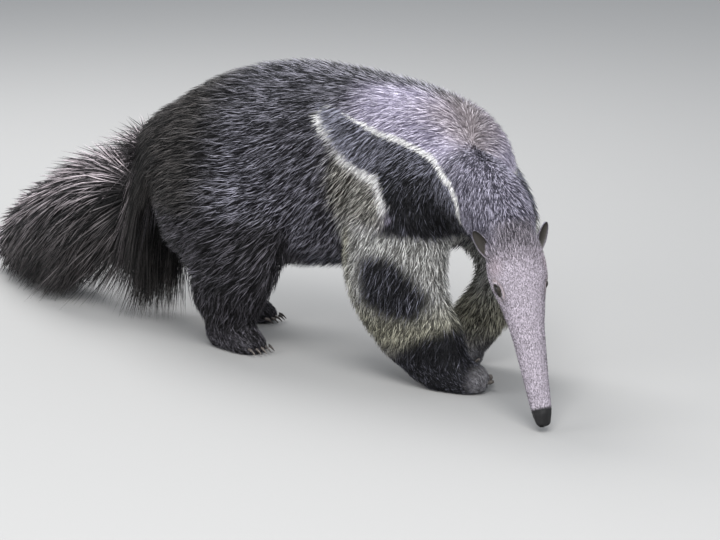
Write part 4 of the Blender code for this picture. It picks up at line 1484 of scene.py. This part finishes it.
def laid(coat, tufts):
    """The tufts with every point in its place, with what the material reads, and with their UV map."""
    form, chance, measure, hold = (coat.named(name) for name in ("form", "chance", "measure", "hold"))
    root, facing, lie, pull = (coat.named(name) for name in ("root", "facing", "lie", "pull"))
    t = form.part("Z")
    reach = measure.part("X") * (LENGTH_LEAST + LENGTH_CHANCE * chance.part("X"))
    side = lie.math("CROSS_PRODUCT", facing).unit()
    bent = side * ((chance.part("Y") - 0.5) * coat.ask("Bend") * reach * t * t)
    line = root + lie * (reach * t) + pull * t.math("POWER", PULL_POWER) + bent
    near, near_facing = coat.sampled(coat.place, line), coat.sampled(coat.named("lift"), line).unit()
    climb = t * (EARLY_RISE - (EARLY_RISE - 1) * t)
    sunk = (measure.part("Z") * 0.4).math("MINIMUM", ROOT_DEPTH) * (1.0 - t)
    depth = coat.sampled(coat.named("measure"), line).part("Z")
    lifted = depth * (RISE_LEAST + RISE_CHANCE * chance.part("Z")) * climb - sunk
    sagging = coat.node("ShaderNodeCombineXYZ", {2: -1.0}) * (hold.part("Y") * reach * t * t)
    free, kept = line + facing * lifted + sagging, near + near_facing * lifted + sagging
    centre = hold.part("X").blend(free, kept)
    across = lie.math("CROSS_PRODUCT", near_facing).unit()
    half = measure.part("Y") * (WIDTH_LEAST + WIDTH_CHANCE * chance.part("Y"))
    half = half * (HALF_AT_ROOT + HALF_ADDED * t)
    spot = centre + across * (form.part("Y") * half) + near_facing * (form.part("X") * half * FLATNESS)
    spot = spot.part("X").joined(spot.part("Y"), spot.part("Z").math("MAXIMUM", FLOOR_GAP))
    tufts = coat.node("GeometryNodeSetPosition", {0: tufts, 2: spot})
    marked = root + lie * (reach * (MARKS_FROM + MARKS_OVER * t))
    tufts = coat.store(tufts, "marks", coat.sampled(coat.named("marks"), marked))
    inner = (0.5 * form.part("X") * (1.0 - 0.8 * t)).joined(0.85 * t + 0.12 * form.part("Y") - 0.35, 0.0)
    tufts = coat.store(tufts, "OFBake", coat.named("patch") + inner * PATCH_SIZE, "FLOAT2", "CORNER")
    return coat.store(tufts, "strand", t.joined(coat.named("shade", "FLOAT"), chance.part("Z")))


def coat_tree():
    coat = new_coat_tree()
    tufts = laid(coat, cones(coat, scattered(coat)))
    for name in SCRATCH:
        tufts = coat.node("GeometryNodeRemoveAttribute", {0: tufts, 1: name})
    tufts = coat.node("GeometryNodeSetMaterial", {0: tufts, 2: coat.ask("Material")})
    end = coat.tree.nodes.new("NodeGroupOutput")
    coat.tree.links.new(tufts.socket, end.inputs[0])
    return coat.tree


tree = coat_tree()
print("coat tree of", len(tree.nodes), "nodes")

# %% [markdown]
# ## Materials
# Skin and coat share one formula for their colour, so the skin between the tufts carries the same markings.
# Roots are dark and tips pale, and each tuft differs a little from the next, as the hairs of a real coat do.
# The darkest roots are also painted shade deep in the coat, and the lilac-blue of pale tufts on the dark coat
# is painted sheen.

# %% Colours of skin and coat
# The black's root, and the grey-blue at its tips, which is a painted sheen of sky light
BLACK_ROOT, BLACK_SHEEN = (0.006, 0.006, 0.008), (0.460, 0.460, 0.560)
WHITE_ROOT, WHITE_TIP = (0.70, 0.69, 0.68), (0.97, 0.96, 0.95)
# A fine speckle, stretched along the head
SPECKLE = 0.20
SPECKLE_SCALE = 850.0
SPECKLE_STRETCH = 0.55
# How much paler a tuft's own chance makes it towards its tip
CHANCE_PALER, CHANCE_DARKER = 2.3, 0.45
# How strongly the tone hides the painted sheen of the black
SHEEN_HIDING = 0.7
BORDER_SOFT, BORDER_RAGGED = 0.06, 0.14
# The edge of a white line is ragged, and more so where the line is weak
LINE_RAGGED, LINE_CLEANER = 2.4, 1.6
LINE_EDGE = (0.80, 1.15)


def rgba(colour):
    """A colour with full opacity, as nodes want it."""
    return (*colour, 1.0)


def attribute(start, name):
    """A vector or colour that the mesh holds."""
    return start.node("ShaderNodeAttribute", (), 1, attribute_name=name)


def coat_colour(start, along, chance):
    """The colour by region, marks, place along the tuft (0 root to 1 tip) and the tuft's own chance."""
    ground, tips, marks, tone = (attribute(start, name) for name in ("ground", "tips", "marks", "tone"))
    place = start.node("ShaderNodeTexCoord", (), "Object")
    long = tuple(float(v) for v in head_along)
    grain = place - place.math("DOT_PRODUCT", long) * tuple(SPECKLE_STRETCH * v for v in long)
    speck = start.node("ShaderNodeTexNoise", {0: grain, 2: SPECKLE_SCALE, 3: 1.0}).fade(0.36, 0.64)
    paler = along * (CHANCE_PALER * chance - CHANCE_DARKER) + SPECKLE * (speck - 0.5)
    shown = (paler + tone.part("Z")).fade(0.30, 1.15).blend(ground, tips)
    # Black marks: dark roots, and painted sheen towards the tips of the paler tufts
    black = (paler - SHEEN_HIDING * tone.part("Y")).fade(0.0, 1.15).blend(rgba(BLACK_ROOT), rgba(BLACK_SHEEN))
    into_black = (marks.part("X") + BORDER_RAGGED * (chance - 0.5)).fade(-BORDER_SOFT, BORDER_SOFT)
    shown = into_black.blend(shown, black)
    white = paler.fade(0.0, 0.5).blend(rgba(WHITE_ROOT), rgba(WHITE_TIP))
    across = (marks.part("Y") / LINE_SCALE).math("ABSOLUTE")
    ragged = (LINE_RAGGED - LINE_CLEANER * marks.part("Z")) * (chance - 0.5)
    on_line = 1.0 - (across + ragged).fade(*LINE_EDGE)
    return (on_line * marks.part("Z").fade(0.2, 0.9)).blend(shown, white)


# %% Materials of coat, skin, eyes and claws
PORE_SCALE, PORE_DEPTH = 900.0, 0.0006
SKIN_ALONG, SKIN_SHORT, SKIN_SPECKLE, SKIN_CHANCE = 0.27, 0.17, 0.4, 0.65
HORN_DARK, HORN_PALE, HORN_SCALE = (0.035, 0.030, 0.028), (0.110, 0.092, 0.078), 160.0
EYE_BLACK = (0.006, 0.004, 0.004)


def new_material(name):
    made = bpy.data.materials.new(name)
    made.use_nodes = True
    shader = made.node_tree.nodes["Principled BSDF"]
    return made, Value(made.node_tree), shader


def feed(tree, value, socket):
    tree.links.new(value.socket, socket)


def coat_material():
    made, start, shader = new_material("coat")
    strand = attribute(start, "strand")
    colour = coat_colour(start, strand.part("X"), strand.part("Y"))
    feed(made.node_tree, colour, shader.inputs["Base Color"])
    shader.inputs["Roughness"].default_value = 0.50
    shader.inputs["Specular IOR Level"].default_value = 0.28
    return made


def skin_material():
    """The skin looks like tufts at this share of their length, as most of it is seen between them."""
    made, start, shader = new_material("skin")
    place = start.node("ShaderNodeTexCoord", (), "Object")
    speck = start.node("ShaderNodeTexNoise", {0: place, 2: PORE_SCALE, 3: 2.0, 4: 0.6})
    short = attribute(start, "tone").part("X")
    along = SKIN_ALONG + SKIN_SHORT * short + SKIN_SPECKLE * speck
    colour = coat_colour(start, along, SKIN_CHANCE)
    feed(made.node_tree, colour, shader.inputs["Base Color"])
    rough = start.node("ShaderNodeBump", {"Strength": 0.35, "Distance": PORE_DEPTH, "Height": speck})
    feed(made.node_tree, rough, shader.inputs["Normal"])
    shader.inputs["Roughness"].default_value = 0.62
    shader.inputs["Specular IOR Level"].default_value = 0.35
    return made


def plain_material(name, colour, roughness, coat=0.0):
    made, _, shader = new_material(name)
    shader.inputs["Base Color"].default_value = rgba(colour)
    shader.inputs["Roughness"].default_value = roughness
    shader.inputs["Coat Weight"].default_value = coat
    shader.inputs["Coat Roughness"].default_value = 0.05
    shader.inputs["Specular IOR Level"].default_value = 0.30
    return made


def claw_material():
    made, start, shader = new_material("claw")
    place = start.node("ShaderNodeTexCoord", (), "Object")
    grain = start.node("ShaderNodeTexNoise", {0: place, 2: HORN_SCALE, 3: 3.0})
    colour = grain.fade(0.35, 0.7).blend(rgba(HORN_DARK), rgba(HORN_PALE))
    feed(made.node_tree, colour, shader.inputs["Base Color"])
    shader.inputs["Roughness"].default_value = 0.45
    return made


coat_look, skin_look, claw_look = coat_material(), skin_material(), claw_material()
eye_look = plain_material("eye", EYE_BLACK, 0.10, 0.25)
print("materials", [look.name for look in (coat_look, skin_look, claw_look, eye_look)])

# %% [markdown]
# ## The coat, piece by piece
# One coat for the whole animal would be too heavy to hand on, so it is grown in pieces. Each has its own
# share of the skin, its own unwrap (angle round a line through it, and length along it) and its own number
# of tufts. No edge shows between two pieces, because the tufts of both lie over it.

# %% Pieces of the coat
# Tufts, segments, clump size, clumping, stray, wave, bend, streak
PIECES = {
    "coat_head": (38000, 1, 0.006, 0.10, 0.14, 0.3, 0.2, 0.0022),
    "coat_neck": (18000, 2, 0.010, 0.25, 0.12, 0.5, 0.3, 0.0032),
    "coat_trunk_front": (19500, 2, 0.014, 0.35, 0.14, 0.5, 0.4, 0.0036),
    "coat_trunk_middle": (16500, 2, 0.016, 0.35, 0.14, 0.5, 0.4, 0.0042),
    "coat_trunk_rear": (15500, 2, 0.018, 0.35, 0.18, 0.6, 0.4, 0.0046),
    "coat_foreleg_R": (14000, 2, 0.012, 0.40, 0.20, 1.0, 0.6, 0.0036),
    "coat_foreleg_L": (10000, 2, 0.012, 0.40, 0.20, 1.0, 0.6, 0.004),
    "coat_hindleg_R": (9500, 2, 0.018, 0.45, 0.14, 0.6, 0.4, 0.0042),
    "coat_hindleg_L": (8500, 2, 0.018, 0.45, 0.14, 0.6, 0.4, 0.0042),
    "coat_tail_base": (5600, 3, 0.030, 0.25, 0.40, 0.35, 0.30, 0.006),
    "coat_tail_middle": (5200, 3, 0.030, 0.25, 0.40, 0.35, 0.30, 0.006),
    "coat_tail_end": (3600, 3, 0.030, 0.25, 0.40, 0.35, 0.30, 0.006),
}
TAIL_PARTS = ("coat_tail_base", "coat_tail_middle", "coat_tail_end")
FIRST_SEED = 100


def pieces_of_verts():
    """The name of the piece of coat that each vert belongs to."""
    found = np.full(len(places), "coat_trunk_rear", "U20")
    for name in sorted(set(owner)):
        chosen = owner == name
        if name.startswith(("head", "nose", "ear")):
            found[chosen] = "coat_head"
        elif name.startswith(("neck", "trunk")):
            found[chosen] = "coat_" + name
        elif name.startswith(("fore", "hind")):
            found[chosen] = f"coat_{name[:4]}leg_{name[-1]}"
    found[is_head] = "coat_head"
    low, high = along_tail[tail].min(), along_tail[tail].max()
    third = np.clip((3 * (along_tail - low) / (high - low)).astype(int), 0, 2)
    found[tail] = np.array(TAIL_PARTS)[third[tail]]
    return found


def areas_of_verts(mesh):
    """The area of skin that each vert stands for."""
    found = np.zeros(len(mesh.vertices))
    for face in mesh.polygons:
        found[list(face.vertices)] += face.area / len(face.vertices)
    return found


piece_of = pieces_of_verts()
vert_area = areas_of_verts(skin)
print("skin", round(float(vert_area.sum()), 3), "square metres for", len(PIECES), "pieces of coat")

# %% Unwrap of a piece
LEG_ENDS = (8, 92)
LEG_STEPS = 12
# The head's unwrap keeps to this share of the map's height, and the ears lie over it
HEAD_TO, EARS_FROM, EARS_HEIGHT = 0.80, 0.84, 0.15
# The ears' inner and outer sides take a quarter of the map's width each
EAR_QUARTER, EAR_MIDDLE, EAR_HALF = 0.25, 0.11, 0.10


def straight_line(points):
    """A line down through a leg, from the middle of its top to the middle of its foot."""
    low, high = np.percentile(points[:, 2], LEG_ENDS)
    foot, crest = points[points[:, 2] <= low].mean(0), points[points[:, 2] >= high].mean(0)
    return line_of(np.linspace(crest, foot, LEG_STEPS), np.array((0, -1.0, 0)))


def unwrap_of(piece, chosen):
    """Sine and cosine of the angle round the piece, and the share of the length along it."""
    if "tail" in piece:
        line = tail_line
    elif "leg" in piece:
        line = straight_line(places[chosen])
    else:
        line = backbone
    station, angle, *_ = on_line(places, line)
    low, high = station[chosen].min(), station[chosen].max()
    along = np.clip((station - low) / (high - low), 0, 1)
    if piece == "coat_head":
        along = HEAD_TO * along
        for side in (-1, 1):
            this_ear, facing_mouth, across, up = round_ear(side)
            u = EAR_QUARTER * (1 + side) + EAR_QUARTER * (facing_mouth > 0) + EAR_MIDDLE
            u = u + EAR_HALF * across / (0.5 * EAR_WIDTH)
            angle = np.where(this_ear, (u - 0.5) * 2 * math.pi, angle)
            along = np.where(this_ear, EARS_FROM + EARS_HEIGHT * np.clip(up, 0, 1), along)
    return np.stack([np.sin(angle), np.cos(angle), along], 1)


# %% Grow the pieces
def grow(piece, number):
    """One piece of coat, grown by the tree on its share of the skin."""
    tufts, *looks = PIECES[piece]
    chosen = piece_of == piece
    wanted = thick * chosen
    write(skin, "thickness", wanted * tufts / (wanted * vert_area).sum())
    write(skin, "unwrap", unwrap_of(piece, chosen))
    thing = new_object(piece, skin.copy())
    growth = thing.modifiers.new("coat", "NODES")
    growth.node_group = tree
    sockets = {item.name: item.identifier for item in tree.interface.items_tree if item.in_out == "INPUT"}
    growth[sockets["Seed"]] = FIRST_SEED + number
    growth[sockets["Material"]] = coat_look
    for name, value in zip(("Segments", *LOOK_INPUTS), looks):
        growth[sockets[name]] = value
    source = thing.data
    thing.data = evaluated(thing)
    bpy.data.meshes.remove(source)
    shade_smooth(thing.data)
    thing.data.name = piece
    triangles = sum(len(face.vertices) - 2 for face in thing.data.polygons)
    print(piece, triangles, "triangles")
    return thing


coats = [grow(piece, number) for number, piece in enumerate(PIECES)]

# %% [markdown]
# ## What each piece stands for
# The skin replaces the solids of flesh. Every piece rides on the one body of the animal and takes its
# material.

# %% Materials and bodies
skin_thing.data.name = "skin"
for name in ("comb", "lift", "measure", "hold", "thickness", "unwrap"):
    skin.attributes.remove(skin.attributes[name])
shade_smooth(skin)
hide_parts(*flesh_names)
for things, look, slot in (
    ([skin_thing], skin_look, "coat"),
    (coats, coat_look, "coat"),
    (eye_things, eye_look, "eye"),
    (claw_things, claw_look, "horn"),
):
    for thing in things:
        thing.data.materials.clear()
        thing.data.materials.append(look)
        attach(thing, BODY)
print("skin", sum(len(f.vertices) - 2 for f in skin.polygons), "triangles")

# %% [markdown]
# ## Floor, light and camera
# A plain pale floor and soft light from above the camera's left, with a weaker one behind for the outline and
# a pale sky that fills the shadows. Large lamps give soft shadows, which suit fur.

# %% Floor and light
FLOOR_SIZE = 30.0
FLOOR_GREY = (0.31, 0.306, 0.30)
SKY_COLOUR, SKY_STRENGTH = (0.88, 0.93, 1.0, 1), 0.82
# Name, place, what it points at, size and power of each lamp
LAMPS = [
    ("key", (-2.6, -2.6, 3.6), (0, -0.3, 0.3), 2.6, 300),
    ("rim", (1.2, 2.2, 3.2), (0, -0.2, 0.3), 2.2, 150),
    ("fill", (-3.4, 1.4, 1.6), (0, -0.1, 0.3), 2.4, 60),
]
half = FLOOR_SIZE / 2
corners = [(-half, -half, 0), (half, -half, 0), (half, half, 0), (-half, half, 0)]
floor = new_object("floor", mesh_of("floor", corners, [(0, 1, 2, 3)]))
floor.data.materials.append(plain_material("floor", FLOOR_GREY, 0.85))


def area_light(name, place, target, size, power):
    data = bpy.data.lights.new(name, "AREA")
    data.size = size
    data.energy = power
    thing = bpy.data.objects.new(name, data)
    thing.location = place
    thing.rotation_euler = (Vector(target) - Vector(place)).to_track_quat("-Z", "Y").to_euler()
    bpy.context.scene.collection.objects.link(thing)


for lamp in LAMPS:
    area_light(*lamp)
sky = bpy.data.worlds.new("sky")
sky.use_nodes = True
sky.node_tree.nodes["Background"].inputs[0].default_value = SKY_COLOUR
sky.node_tree.nodes["Background"].inputs[1].default_value = SKY_STRENGTH
bpy.context.scene.world = sky
bpy.context.scene.view_settings.view_transform = "Standard"
print(len(LAMPS), "lamps and a sky")

# %% [markdown]
# ## The camera
# A long lens from far away keeps the animal's lines nearly parallel. The lens follows from the pixels that
# one metre takes up at the forefeet, and the camera is moved until the point between them lies in its place.

# %% Camera
AZIMUTH, ELEVATION = math.radians(-52.0), math.radians(12.7)
DISTANCE = 7.0
PIXELS_PER_METRE = 521.0
WIDTH_IN_PIXELS = 720
SENSOR = 36.0
ANCHOR = Vector((-0.0573, -0.5594, 0.0))
ANCHOR_RIGHT, ANCHOR_UP = 0.19194, -0.23033

back = Vector((
    math.sin(AZIMUTH) * math.cos(ELEVATION),
    -math.cos(AZIMUTH) * math.cos(ELEVATION),
    math.sin(ELEVATION),
))
right = Vector((math.cos(AZIMUTH), math.sin(AZIMUTH), 0))
up = back.cross(right)
camera = bpy.data.cameras.new("camera")
camera.sensor_width = SENSOR
camera.lens = SENSOR * DISTANCE * PIXELS_PER_METRE / WIDTH_IN_PIXELS
eye_point = bpy.data.objects.new("camera", camera)
bpy.context.scene.collection.objects.link(eye_point)
eye_point.rotation_mode = "QUATERNION"
eye_point.location = ANCHOR - right * ANCHOR_RIGHT - up * ANCHOR_UP + back * DISTANCE
eye_point.rotation_quaternion = (-back).to_track_quat("-Z", "Y")
bpy.context.scene.camera = eye_point
print("camera with a lens of", round(camera.lens), "mm")
